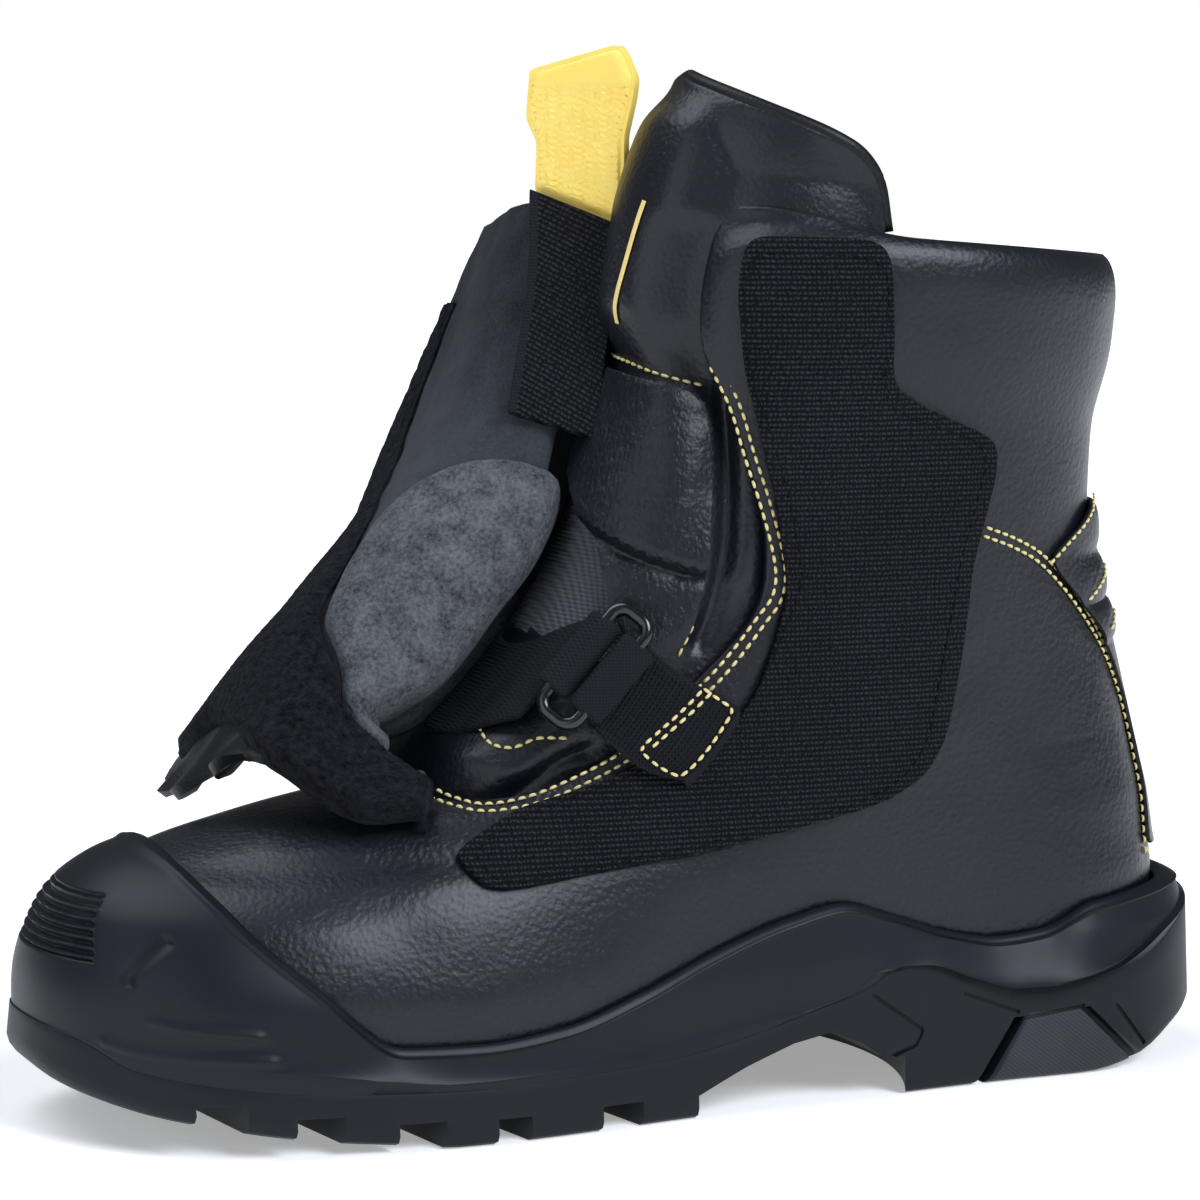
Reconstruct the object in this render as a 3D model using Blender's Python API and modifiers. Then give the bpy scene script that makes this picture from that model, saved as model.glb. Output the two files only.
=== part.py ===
"""Foundry boot for the left foot, at real size.

Frame: +X to the toe, +Y to the outer side, +Z up.  The origin lies on the
floor under the middle of the heel.  Sizes are in millimetres and are turned
into metres where the meshes are made.
"""
import math
from collections import namedtuple

import bmesh
import bpy
import numpy as np
from mathutils import Vector

MM = 0.001
GAP = 0.3
SEAT = 0.6
COLUMNS = 53

# The last: one row for each ring around the foot, from the feather edge up
# past the collar.  A ring runs from its back point to its front point.
Ring = namedtuple(
    "Ring",
    "back_x back_z front_x front_z heel waist ball back_round front_round sag swing",
)
RINGS = (
    Ring(-64.0, 27.0, 217.0, 25.0, 33.0, 31.5, 45.0, 40, 62, 11, 1.00),
    Ring(-67.5, 37.0, 218.5, 36.0, 35.5, 34.5, 46.5, 42, 62, 5, 1.00),
    Ring(-68.5, 47.0, 215.5, 49.5, 36.5, 35.5, 42.5, 44, 62, 1, 1.00),
    Ring(-67.0, 56.0, 207.0, 59.0, 36.5, 36.0, 38.5, 45, 74, 0, 1.00),
    Ring(-65.5, 65.0, 195.0, 65.0, 36.5, 36.0, 36.0, 45, 98, 0, 0.95),
    Ring(-63.0, 75.0, 172.0, 71.0, 36.0, 36.0, 36.0, 45, 95, 0, 0.85),
    Ring(-60.0, 87.0, 148.0, 76.0, 35.5, 36.0, 34.5, 46, 80, 0, 0.70),
    Ring(-56.5, 101.0, 126.0, 89.0, 35.5, 36.0, 35.5, 48, 65, 0, 0.50),
    Ring(-52.5, 117.0, 106.0, 110.0, 36.0, 36.5, 35.5, 50, 58, 0, 0.30),
    Ring(-49.0, 135.0, 91.0, 136.0, 37.5, 38.0, 36.5, 54, 56, 0, 0.15),
    Ring(-49.5, 155.0, 81.0, 163.0, 39.5, 40.0, 38.5, 58, 56, 0, 0.05),
    Ring(-51.0, 180.0, 74.0, 189.0, 41.5, 42.0, 40.5, 60, 57, 0, 0.00),
    Ring(-53.0, 203.0, 69.0, 213.0, 43.0, 43.5, 42.0, 61, 58, 0, 0.00),
    Ring(-54.0, 221.0, 63.0, 230.0, 43.0, 43.5, 42.0, 58, 56, 0, 0.00),
    Ring(-55.0, 238.0, 57.5, 245.0, 43.0, 43.5, 42.0, 56, 54, 0, 0.00),
)
COLLAR_RING = 12
SOLE_RING = Ring(-79.0, 0.0, 228.0, 0.0, 42.0, 39.5, 51.0, 44, 64, 0, 1.00)

# Stations along a ring, as shares of its length.
HALF_WIDTH_AT = (0.0, 0.15, 0.42, 0.72, 1.0)
CENTRE_LINE = ((0.0, 0.0), (0.2, 0.0), (0.42, 5.0), (0.66, 1.0), (0.78, -2.5), (1.0, -10.0))
SAG_AT = 0.66
SAG_REACH = 0.20
TOE_POWER = 2.2

# Side-view lines of the sole: (x, z).
LIP_LINE = (
    (-72, 44), (-60, 43.5), (-35, 41.6), (-21, 36), (-9, 35), (7, 38), (23, 43.5), (37, 47.5),
    (52, 44.5), (71, 38), (91, 30), (111, 24), (132, 22), (150, 22.5), (168, 35.5), (183, 49),
    (197, 67), (235, 125),
)
PARTING_LINE = (
    (-80, 41), (-70, 37), (-62, 34), (-54, 30), (-47, 27), (-34, 24.5), (-22, 23), (-10, 24.5),
    (2, 28), (14, 31.3), (22, 31.5), (30, 27), (45, 23), (60, 19), (80, 15.5), (99, 14.4),
    (132, 13.6), (167, 14.7), (192, 17.2), (210, 20.5), (219, 26), (228, 29),
)
FLOOR_LINE = (
    (-80, 21), (-60, 21), (20, 21), (45, 19), (77, 13), (103, 11), (129, 10), (160, 11.5),
    (190, 15), (228, 22),
)
TREAD_LINE = (
    (-80, 13), (-70, 10.5), (-61, 8), (-52, 4), (-46, 2), (-38, 0.5), (-32, 0), (138, 0), (155, 1.8),
    (168, 3.2), (182, 5.2), (194, 7.3), (205, 9.3), (216, 12.3), (223, 15), (228, 19),
)
FLOOR_INSET = 5.2
TREAD_INSET = 2.5
LIP_THICKNESS = 3.0

# Grooves across the toe guard, between its ribs.
RIB_LOW = 46.0
RIB_PITCH = 2.5
RIB_COUNT = 5
RIB_GROOVE = 1.2
RIB_DEPTH = 1.5
RIB_REACH = 0.105

# Throat edge: share of the way round from the back to the front ridge, by rise.
# The rows dip on both sides of the ridge so that the toe end of the throat is round.
Throat = namedtuple("Throat", "rise outer inner")
THROAT = (
    Throat(0.475, 1.000, 1.000),
    Throat(0.481, 0.860, 0.860),
    Throat(0.488, 0.760, 0.765),
    Throat(0.510, 0.716, 0.730),
    Throat(0.560, 0.692, 0.710),
    Throat(0.600, 0.682, 0.700),
    Throat(0.640, 0.664, 0.690),
    Throat(0.700, 0.636, 0.680),
    Throat(0.750, 0.656, 0.685),
    Throat(0.800, 0.702, 0.720),
    Throat(0.850, 0.760, 0.770),
    Throat(0.900, 0.836, 0.840),
    Throat(0.950, 0.852, 0.855),
    Throat(0.985, 0.845, 0.848),
    Throat(1.000, 0.815, 0.820),
)
DIP_FROM = 0.74
DIP = 0.055
WALL = 3.0
COLLAR_WALL = 5.5
COLLAR_PAD_FROM = 150.0
COLLAR_PAD_RUN = 45.0
TONGUE_SEAT = 1.6

# Gaps between the edge lugs: (from x, to x).
LUG_GAPS = ((90, 101), (120, 128.5), (141, 152), (164.5, 175), (185, 195))
LUG_DEPTH = 6.0
LUG_SLANT = math.radians(12)
ARCH_OUTLINE = ((76, -6), (76, 5.5), (63, 11), (50, 15.5), (40, 17.3), (32, 14), (26, 9.9), (24, -6))
BREAST_DEPTH = 16.0
HEEL_GROOVES = (((-0.5, -2), (-13, 16)), ((-51, -2), (-31, 17)))
HEEL_GROOVE_WIDTH = 3.2

# Tongue: side limits and inward set, by rise; top edge by share across.
Tongue = namedtuple("Tongue", "rise outer inner thickness")
TONGUE = (
    Tongue(0.45, 0.80, 0.80, 2.5),
    Tongue(0.53, 0.67, 0.69, 2.5),
    Tongue(0.62, 0.63, 0.65, 2.5),
    Tongue(0.72, 0.59, 0.64, 2.5),
    Tongue(0.82, 0.62, 0.66, 2.5),
    Tongue(0.87, 0.64, 0.68, 3.5),
    Tongue(0.90, 0.64, 0.68, 7.0),
    Tongue(1.00, 0.585, 0.63, 7.5),
    Tongue(1.17, 0.570, 0.62, 6.0),
)
TONGUE_TOP = ((0.0, 1.165), (0.38, 1.135), (0.76, 1.095), (0.90, 1.060), (1.0, 1.000))
INSOLE_THICKNESS = 5.0

# Plates on the upper, as outlines of (turn, rise).
PATCH_OUTLINE = (
    (0.784, 0.986), (0.625, 0.994), (0.600, 0.989), (0.588, 0.972), (0.562, 0.886), (0.545, 0.872),
    (0.497, 0.858), (0.418, 0.841), (0.401, 0.832), (0.395, 0.811), (0.404, 0.718), (0.394, 0.525),
    (0.398, 0.455), (0.418, 0.405), (0.517, 0.314), (0.616, 0.243), (0.636, 0.247), (0.650, 0.277),
    (0.676, 0.338), (0.680, 0.360), (0.694, 0.440), (0.670, 0.530), (0.605, 0.580), (0.597, 0.610),
    (0.613, 0.713), (0.675, 0.784), (0.768, 0.885), (0.795, 0.945), (0.795, 0.975),
)
PATCH_THICKNESS = 1.6
STAY_EDGE = (
    (0.000, 0.780), (0.154, 0.772), (0.281, 0.722), (0.215, 0.669), (0.142, 0.596), (0.093, 0.503),
    (0.096, 0.380), (0.117, 0.215),
)
STAY_SEAT = 1.0
STAY_THICKNESS = 0.9
FLEX_RIBS = (0.745, 0.690, 0.635)
FLEX_RIB_HALF = 0.026
FLEX_RIB_HEIGHT = 1.0
TAB_CORNERS = ((0.755, 0.670), (0.612, 0.604), (0.606, 0.500), (0.743, 0.592))
TAB_THICKNESS = 2.4
STRAP_ENDS = ((0.835, 0.690, 0.600), (1.0, 0.668, 0.585), (1.17, 0.680, 0.600))
STRAP_THICKNESS = 2.0
RING_AT = (0.785, 0.645)
RING_LENGTH = 31.0
RING_WIDTH = 10.0
RING_WIRE = 1.7
RING_LIFT = 8.4

# Flap standing open: one row for each section from the toe end of the hinge to the collar.
# Root and bend lie off the upper; fold, crown and edge are points of the lined face.
Section = namedtuple("Section", "turn rise bend_turn bend_rise fold crown edge")
FLAP = (
    Section(0.845, 0.492, 0.830, 0.500, (136, 25, 80), (139, 29, 77), (142, 32, 73)),
    Section(1.000, 0.516, 0.960, 0.515, (145, 9, 88), (151, 17, 84), (157, 23, 77)),
    Section(1.145, 0.490, 1.060, 0.535, (146, 2, 95), (159, 6, 97), (174, 3, 88)),
    Section(1.265, 0.510, 1.100, 0.590, (128, 1, 105), (156, -8, 112), (180, -47, 70)),
    Section(1.315, 0.575, 1.110, 0.650, (116, 1, 119), (143, -15, 127), (159, -76, 84)),
    Section(1.345, 0.660, 1.120, 0.730, (101, 0, 138), (126, -22, 145), (124, -82, 117)),
    Section(1.315, 0.790, 1.130, 0.830, (89, -9, 167), (104, -32, 170), (104, -90, 152)),
    Section(1.180, 0.960, 1.120, 0.965, (68, -31, 214), (82, -44, 215), (81, -80, 208)),
)
FLAP_AT = (0.0, 0.14, 0.28, 0.42, 0.56, 0.70, 0.84, 1.0)
FLAP_ACROSS = (0.0, 0.16, 0.36, 0.64, 1.0)
FLAP_SEAT = 2.0
BEND_LIFT = 8.0
FLAP_THICKNESS = 3.0
# Round corner at the flap's toe end: share of the width cut off, and its run along the hinge.
CORNER_CUT = 0.24
CORNER_RUN = 0.12
# Pile band: shares across of its inner and outer edge by share along the hinge.
BAND_INNER = (
    (0.0, 0.500), (0.04, 0.490), (0.20, 0.455), (0.33, 0.490), (0.42, 0.605), (0.46, 0.625),
    (0.51, 0.630), (0.59, 0.645), (0.67, 0.680), (0.76, 0.790), (0.84, 0.885), (0.94, 0.935),
)
BAND_OUTER = (
    (0.0, 0.965), (0.24, 0.965), (0.29, 0.930), (0.34, 0.865), (0.40, 0.845), (0.45, 0.915),
    (0.52, 0.960), (1.0, 0.965),
)
BAND_SPAN = (0.012, 0.94)
BAND_SEAT = 3.0
BAND_THICKNESS = 1.6
# Pad: share across of its outer edge by share along the hinge.
PAD_OUTER = (
    (0.0, 0.450), (0.04, 0.450), (0.20, 0.430), (0.33, 0.465), (0.42, 0.580), (0.46, 0.600),
    (0.51, 0.605), (0.59, 0.620), (0.65, 0.620), (0.70, 0.595), (0.74, 0.545), (0.77, 0.440),
)
PAD_ROOT = 0.214
PAD_SPAN = (0.02, 0.77)
PAD_SEAT = 2.5
PAD_THICKNESS = 2.4
# Closing strap, from its free end down: back face at its front and rear edge.
Hook = namedtuple("Hook", "front rear")
HOOK = (
    Hook((83.4, -40.3, 217.5), (69.2, -17.5, 209.4)),
    Hook((88.9, -28.8, 196.3), (71.1, -13.8, 199.0)),
    Hook((95.8, -19.4, 179.0), (77.4, -6.4, 178.5)),
    Hook((101.0, -13.2, 164.3), (84.1, 2.4, 158.2)),
)
HOOK_THICKNESS = 2.6
# Pull tab, in shares of the strap's width (rear to front) and of its own height.
GRIP_RISE = (0.0, 0.0, 40.0)
GRIP_OUTLINE = (
    (0.00, 0.00), (1.00, 0.00), (0.98, 0.31), (1.07, 0.39), (1.10, 0.43), (1.09, 0.52), (1.06, 0.72),
    (1.02, 0.75), (0.12, 1.07), (0.04, 1.08), (-0.02, 1.04), (-0.11, 0.94), (-0.13, 0.90),
    (-0.10, 0.78), (-0.01, 0.54), (-0.01, 0.30),
)
GRIP_THICKNESS = 3.4


def hermite(x, at, height, tangent):
    """Piecewise cubic through the knots with the given slopes."""
    span = np.diff(at)
    x = np.clip(np.asarray(x, float), at[0], at[-1])
    i = np.clip(np.searchsorted(at, x, side="right") - 1, 0, len(span) - 1)
    t = (x - at[i]) / span[i]
    rest = 1 - t
    return (
        height[i] * (1 + 2 * t) * rest ** 2
        + height[i + 1] * (3 - 2 * t) * t ** 2
        + span[i] * (tangent[i] * t * rest ** 2 - tangent[i + 1] * rest * t ** 2)
    )


def ease(x, knots, values):
    """Smooth curve through the knots, with no overshoot between them."""
    at = np.asarray(knots, float)
    height = np.asarray(values, float)
    slope = np.diff(height) / np.diff(at)
    tangent = np.concatenate(([slope[0]], np.zeros(len(slope) - 1), [slope[-1]]))
    for i in range(1, len(slope)):
        if slope[i - 1] * slope[i] > 0:
            tangent[i] = 2 * slope[i - 1] * slope[i] / (slope[i - 1] + slope[i])
    return hermite(x, at, height, tangent)


def flow(x, knots, values):
    """Rounder curve through the knots, for leather that bows."""
    at = np.asarray(knots, float)
    height = np.asarray(values, float)
    return hermite(x, at, height, np.gradient(height, at))


def along(line, x):
    """Height of a side-view line at x."""
    return ease(x, [p[0] for p in line], [p[1] for p in line])


def ring_at(rise):
    """All columns of the ring table at a rise (0 feather edge, 1 collar)."""
    index = np.asarray(rise, float) * COLLAR_RING
    count = range(len(RINGS))
    return Ring(*(ease(index, count, column) for column in zip(*RINGS)))


def half_width(ring, s):
    """Half width of a ring at the share s of its length, before its ends are rounded."""
    stations = (ring.heel, ring.heel, ring.waist, ring.ball, ring.ball)
    stations = [np.broadcast_to(v, np.shape(s)) for v in stations]
    width = np.array(stations[0], float)
    for i in range(len(HALF_WIDTH_AT) - 1):
        t = np.clip((s - HALF_WIDTH_AT[i]) / (HALF_WIDTH_AT[i + 1] - HALF_WIDTH_AT[i]), 0, 1)
        width = width + (stations[i + 1] - stations[i]) * t * t * (3 - 2 * t)
    return width


def ring_point(ring, turn):
    """Points on a ring.  turn runs from 0 at the back to +1 (outer) or -1 (inner) at the front."""
    turn = np.asarray(turn, float)
    turn = np.where(np.abs(turn) > 1, turn - 2 * np.sign(turn), turn)
    s = 0.5 - 0.5 * np.cos(math.pi * np.abs(turn))
    x = ring.back_x + (ring.front_x - ring.back_x) * s
    sag = ring.sag * np.exp(-((s - SAG_AT) / SAG_REACH) ** 2)
    z = ring.back_z + (ring.front_z - ring.back_z) * s - sag
    from_back = np.clip(1 - (x - ring.back_x) / ring.back_round, 0, 1)
    from_front = np.clip(1 - (ring.front_x - x) / ring.front_round, 0, 1)
    ends = np.sqrt(1 - from_back ** 2) * (1 - from_front ** TOE_POWER) ** (1 / TOE_POWER)
    y = ring.swing * along(CENTRE_LINE, s) + np.sign(turn) * half_width(ring, s) * ends
    return np.stack(np.broadcast_arrays(x, y, z), axis=-1)


def last(turn, rise, out=0.0):
    """Points on the last, moved outward along its normal by out."""
    turn, rise = np.broadcast_arrays(np.asarray(turn, float), np.asarray(rise, float))
    place = ring_point(ring_at(rise), turn)
    if np.all(np.asarray(out) == 0):
        return place
    d = 0.004
    around = ring_point(ring_at(rise), turn + d) - ring_point(ring_at(rise), turn - d)
    upward = ring_point(ring_at(rise + d), turn) - ring_point(ring_at(rise - d), turn)
    normal = np.cross(upward, around)
    normal = normal / np.linalg.norm(normal, axis=-1, keepdims=True)
    return place + normal * np.asarray(out, float)[..., None]


def rise_where(turn, line, lift=0.0):
    """Rise at which each column of the last crosses a side-view line."""
    rises = np.linspace(0, 0.6, 241)
    grid = last(np.asarray(turn)[..., None], rises)
    above = grid[..., 2] - along(line, grid[..., 0]) - lift
    first = np.argmax(above >= 0, axis=-1)
    before = np.maximum(first - 1, 0)
    low = np.take_along_axis(above, before[..., None], -1)[..., 0]
    high = np.take_along_axis(above, first[..., None], -1)[..., 0]
    part = np.where(first > 0, -low / np.maximum(high - low, 1e-9), 0)
    return rises[before] + part * (rises[1] - rises[0])


def sole_edge(turn, inset, line, lift=0.0):
    """Sole outline, inset in plan, at the height of a side-view line."""
    ring = SOLE_RING._replace(
        back_x=SOLE_RING.back_x + inset,
        front_x=SOLE_RING.front_x - inset,
        heel=SOLE_RING.heel - inset,
        waist=SOLE_RING.waist - inset,
        ball=SOLE_RING.ball - inset,
    )
    point = ring_point(ring, turn)
    point[..., 2] = along(line, point[..., 0]) + lift
    return point


def to_middle(points):
    """The same stations moved onto the middle line between both sides."""
    return (points + points[..., ::-1, :]) / 2


def new_object(name, bm, home, material, closed=True):
    """Turn a bmesh into a named object."""
    if closed:
        bmesh.ops.recalc_face_normals(bm, faces=bm.faces)
    mesh = bpy.data.meshes.new(name)
    bm.to_mesh(mesh)
    bm.free()
    obj = bpy.data.objects.new(name, mesh)
    home.objects.link(obj)
    if material:
        mesh.materials.append(material)
    return obj


def grid_mesh(points):
    """A grid primitive carried onto rows of points; equal points are welded."""
    rows, columns = points.shape[:2]
    bm = bmesh.new()
    bmesh.ops.create_grid(bm, x_segments=columns - 1, y_segments=rows - 1, size=0.5)
    for vert in bm.verts:
        column = round((vert.co.x + 0.5) * (columns - 1))
        row = round((vert.co.y + 0.5) * (rows - 1))
        vert.co = Vector(points[row, column]) * MM
    bmesh.ops.remove_doubles(bm, verts=bm.verts, dist=2e-6)
    return bm


def walled(name, bm, home, material, thickness, outward, even=True):
    """An open surface given a wall with Solidify, outward from the foot or inward."""
    obj = new_object(name, bm, home, material, closed=False)
    wall = obj.modifiers.new("wall", "SOLIDIFY")
    wall.thickness = thickness * MM
    wall.offset = -1.0 if outward else 1.0
    wall.use_even_offset = even
    return obj


def sheet(name, points, home, material, thickness, outward, even=True):
    """A walled surface through rows of points."""
    return walled(name, grid_mesh(points), home, material, thickness, outward, even)


def draped(name, outline, step, shape, home, material, thickness):
    """A flat outline cut into cells and laid on a surface, then given its thickness outward."""
    bm = bmesh.new()
    face = bm.faces.new([bm.verts.new((a, b, 0)) for a, b in outline])
    face.normal_update()
    if face.normal.z < 0:
        face.normal_flip()
    for axis in (0, 1):
        values = [point[axis] for point in outline]
        first = math.ceil(min(values) / step[axis])
        for k in range(first, math.floor(max(values) / step[axis]) + 1):
            place = [0.0, 0.0, 0.0]
            normal = [0.0, 0.0, 0.0]
            place[axis] = k * step[axis] + 0.0007
            normal[axis] = 1.0
            geometry = bm.verts[:] + bm.edges[:] + bm.faces[:]
            bmesh.ops.bisect_plane(bm, geom=geometry, dist=1e-5, plane_co=place, plane_no=normal)
    flat = np.array([vert.co[:2] for vert in bm.verts])
    for vert, point in zip(bm.verts, shape(flat[:, 0], flat[:, 1])):
        vert.co = Vector(point) * MM
    bmesh.ops.triangulate(bm, faces=[f for f in bm.faces if len(f.verts) > 4])
    return walled(name, bm, home, material, thickness, True)


def prism(name, outline, low, high, axis, home):
    """A flat outline extruded along an axis ('Y' side view, 'Z' plan)."""
    bm = bmesh.new()
    start = {"Y": lambda a, b: (a, low, b), "Z": lambda a, b: (a, b, low)}[axis]
    step = {"Y": (0, high - low, 0), "Z": (0, 0, high - low)}[axis]
    face = bm.faces.new([bm.verts.new(Vector(start(a, b)) * MM) for a, b in outline])
    grown = bmesh.ops.extrude_face_region(bm, geom=[face])
    moved = [g for g in grown["geom"] if isinstance(g, bmesh.types.BMVert)]
    bmesh.ops.translate(bm, verts=moved, vec=Vector(step) * MM)
    return new_object(name, bm, home, None)


def cut(target, cutter):
    """Subtract a cutter with a live Boolean."""
    boolean = target.modifiers.new(cutter.name, "BOOLEAN")
    boolean.operation = "DIFFERENCE"
    boolean.solver = "EXACT"
    boolean.object = cutter
    cutter.hide_render = True
    cutter.display_type = "WIRE"


def material(name, colour, roughness, metallic=0.0):
    """A plain Principled material."""
    mat = bpy.data.materials.new(name)
    mat.use_nodes = True
    shader = mat.node_tree.nodes["Principled BSDF"]
    shader.inputs["Base Color"].default_value = (*colour, 1)
    shader.inputs["Roughness"].default_value = roughness
    shader.inputs["Metallic"].default_value = metallic
    return mat


def start_scene():
    """Empty the file and make the two collections."""
    for obj in list(bpy.data.objects):
        bpy.data.objects.remove(obj)
    parts = bpy.data.collections.new("foundry_boot")
    cutters = bpy.data.collections.new("cutters")
    for group in (parts, cutters):
        bpy.context.scene.collection.children.link(group)
    return parts, cutters


def build_outsole(parts, cutters, rubber):
    """Rubber tread: slab with rim, then arch, heel breast, lugs and heel grooves cut away."""
    turn = np.linspace(-1, 1, COLUMNS)
    bottom = sole_edge(turn, TREAD_INSET, TREAD_LINE)
    shoulder = sole_edge(turn, 0.4, TREAD_LINE, 2.5)
    rim = sole_edge(turn, 1.2, PARTING_LINE, -GAP)
    rim[..., 2] = np.maximum(rim[..., 2], shoulder[..., 2] + 2)
    bed = sole_edge(turn, FLOOR_INSET, FLOOR_LINE, -3 * GAP)
    points = np.stack((to_middle(bottom), bottom, shoulder, rim, bed, to_middle(bed)))
    outsole = new_object("outsole", grid_mesh(points), parts, rubber)
    cut(outsole, prism("arch_cut", ARCH_OUTLINE, -70, 70, "Y", cutters))
    reach = SOLE_RING.heel + 8
    breast = [
        (24 - BREAST_DEPTH * (1 - (k / 8) ** 2), reach * k / 8) for k in range(-8, 9)
    ]
    outline = breast + [(40, reach), (40, -reach)]
    cut(outsole, prism("breast_cut", outline, -6, 9.5, "Z", cutters))
    for number, (start, end) in enumerate(LUG_GAPS):
        top = float(along(TREAD_LINE, (start + end) / 2)) + LUG_DEPTH
        for side in (-1, 1):
            shift = math.tan(LUG_SLANT) * 56
            outline = [(start, 0), (end, 0), (end - shift, side * 62), (start - shift, side * 62)]
            outline = [(x + shift * 0.85, y) for x, y in outline]
            name = "lug_gap_%d_%s" % (number, "outer" if side > 0 else "inner")
            cut(outsole, prism(name, outline, -8, top, "Z", cutters))
    for number, (foot, head) in enumerate(HEEL_GROOVES):
        half = HEEL_GROOVE_WIDTH / 2
        outline = [
            (foot[0] - half, foot[1]), (foot[0] + half, foot[1]),
            (head[0] + half, head[1]), (head[0] - half, head[1]),
        ]
        for side in (-1, 1):
            low, high = sorted((side * 37, side * 60))
            cut(outsole, prism("heel_groove_%d_%d" % (number, side), outline, low, high, "Y", cutters))
    return outsole


def guard_wall(turn, share):
    """Outer face of the side wall, from the parting line up to the lip."""
    foot = sole_edge(turn, 1.2 + 4 * GAP, PARTING_LINE, GAP / 2)
    start = rise_where(turn, PARTING_LINE, 2.0)
    lip = rise_where(turn, LIP_LINE)
    base = np.linalg.norm((foot - last(turn, start))[..., :2], axis=-1)
    thickness = base + (LIP_THICKNESS - base) * share ** 0.8
    wall = last(turn, start + (lip - start) * share, thickness)
    wall[..., 2] = np.maximum(wall[..., 2], foot[..., 2] + 2.5 * share)
    return wall


def rib_groove(number, cutters):
    """Bar that cuts one groove into the front of the toe guard."""
    turn = np.linspace(1 - RIB_REACH, 1 + RIB_REACH, 8)
    shares = np.linspace(0.2, 1.0, 81)
    walls = np.stack([guard_wall(turn, share) for share in shares])
    rows = []
    for lift in (-RIB_GROOVE / 2, RIB_GROOVE / 2):
        height = RIB_LOW + number * RIB_PITCH + lift
        row = np.empty((len(turn), 3))
        for k in range(len(turn)):
            row[k] = [np.interp(height, walls[:, k, 2], walls[:, k, axis]) for axis in range(3)]
        rows.append(row)
    way = np.gradient((rows[0] + rows[1]) / 2, axis=0)
    outward = np.cross(way, rows[1] - rows[0])
    outward = outward / np.linalg.norm(outward, axis=-1, keepdims=True)
    outward = outward * np.sign(outward[len(turn) // 2, 0])
    low, high = rows
    deep, clear = outward * RIB_DEPTH, outward * 3.0
    bm = grid_mesh(np.stack((low - deep, low + clear, high + clear, high - deep, low - deep)))
    bmesh.ops.holes_fill(bm, edges=[edge for edge in bm.edges if edge.is_boundary])
    return new_object("rib_groove_%d" % number, bm, cutters, None)


def build_midsole(parts, cutters, rubber):
    """Side wall with lip, running up over the toe as the ribbed guard."""
    turn = np.linspace(-1, 1, COLUMNS)
    bed = sole_edge(turn, FLOOR_INSET + 5 * GAP, FLOOR_LINE, GAP)
    foot = sole_edge(turn, 1.2 + 4 * GAP, PARTING_LINE, GAP / 2)
    lip = rise_where(turn, LIP_LINE)
    rows = [to_middle(bed), bed, foot]
    rows += [guard_wall(turn, share) for share in (0.3, 0.55, 0.8, 1.0)]
    rows.append(last(turn, lip + 0.008, 1.8))
    for share in (1.0, 0.8, 0.6, 0.4, 0.2, 0.0):
        rows.append(last(turn, lip * share, SEAT + GAP + 1.8 * lip * (share < 1)))
    rows[-1][..., 2] -= GAP
    rows.append(to_middle(rows[-1]))
    midsole = new_object("midsole", grid_mesh(np.stack(rows)), parts, rubber)
    for number in range(RIB_COUNT):
        cut(midsole, rib_groove(number, cutters))
    return midsole


def dipped(turn, rise):
    """Rise of a row after its dip on both sides of the front ridge."""
    near = np.clip((np.abs(turn) - DIP_FROM) / (1 - DIP_FROM), 0, 1)
    reach = np.interp(rise, (0.0, 0.30, 0.475, 0.62, 0.80), (0.0, 0.35, 1.0, 0.6, 0.0))
    return rise + DIP * near * near * (3 - 2 * near) * reach


def throat_limit(share, rise):
    """Front limit of the upper on the side that share points to."""
    rises = [row.rise for row in THROAT]
    outer = ease(rise, rises, [row.outer for row in THROAT])
    inner = ease(rise, rises, [row.inner for row in THROAT])
    return np.where(share >= 0, outer, inner)


def build_upper(parts, leather):
    """Hollow leather shell with a thicker padded collar."""
    share = np.linspace(-1, 1, COLUMNS)
    low = np.linspace(0, 0.475, 8)
    high = (0.481, 0.488, 0.51, 0.56, 0.62, 0.68, 0.74, 0.80, 0.86, 0.93, 1.0)
    share, rise = np.meshgrid(share, np.concatenate((low, high)))
    turn = share * throat_limit(share, rise)
    upper = sheet("upper", last(turn, dipped(turn, rise)), parts, leather, COLLAR_WALL, False, even=False)
    padded = upper.vertex_groups.new(name="padding")
    for vert in upper.data.vertices:
        lift = (vert.co.z / MM - COLLAR_PAD_FROM) / COLLAR_PAD_RUN
        padded.add([vert.index], min(max(lift, 0), 1), "REPLACE")
    upper.modifiers["wall"].vertex_group = "padding"
    upper.modifiers["wall"].thickness_vertex_group = WALL / COLLAR_WALL
    return upper


def wall_at(z):
    """Wall of the upper at a height."""
    return WALL + (COLLAR_WALL - WALL) * np.clip((z - COLLAR_PAD_FROM) / COLLAR_PAD_RUN, 0, 1)


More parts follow.
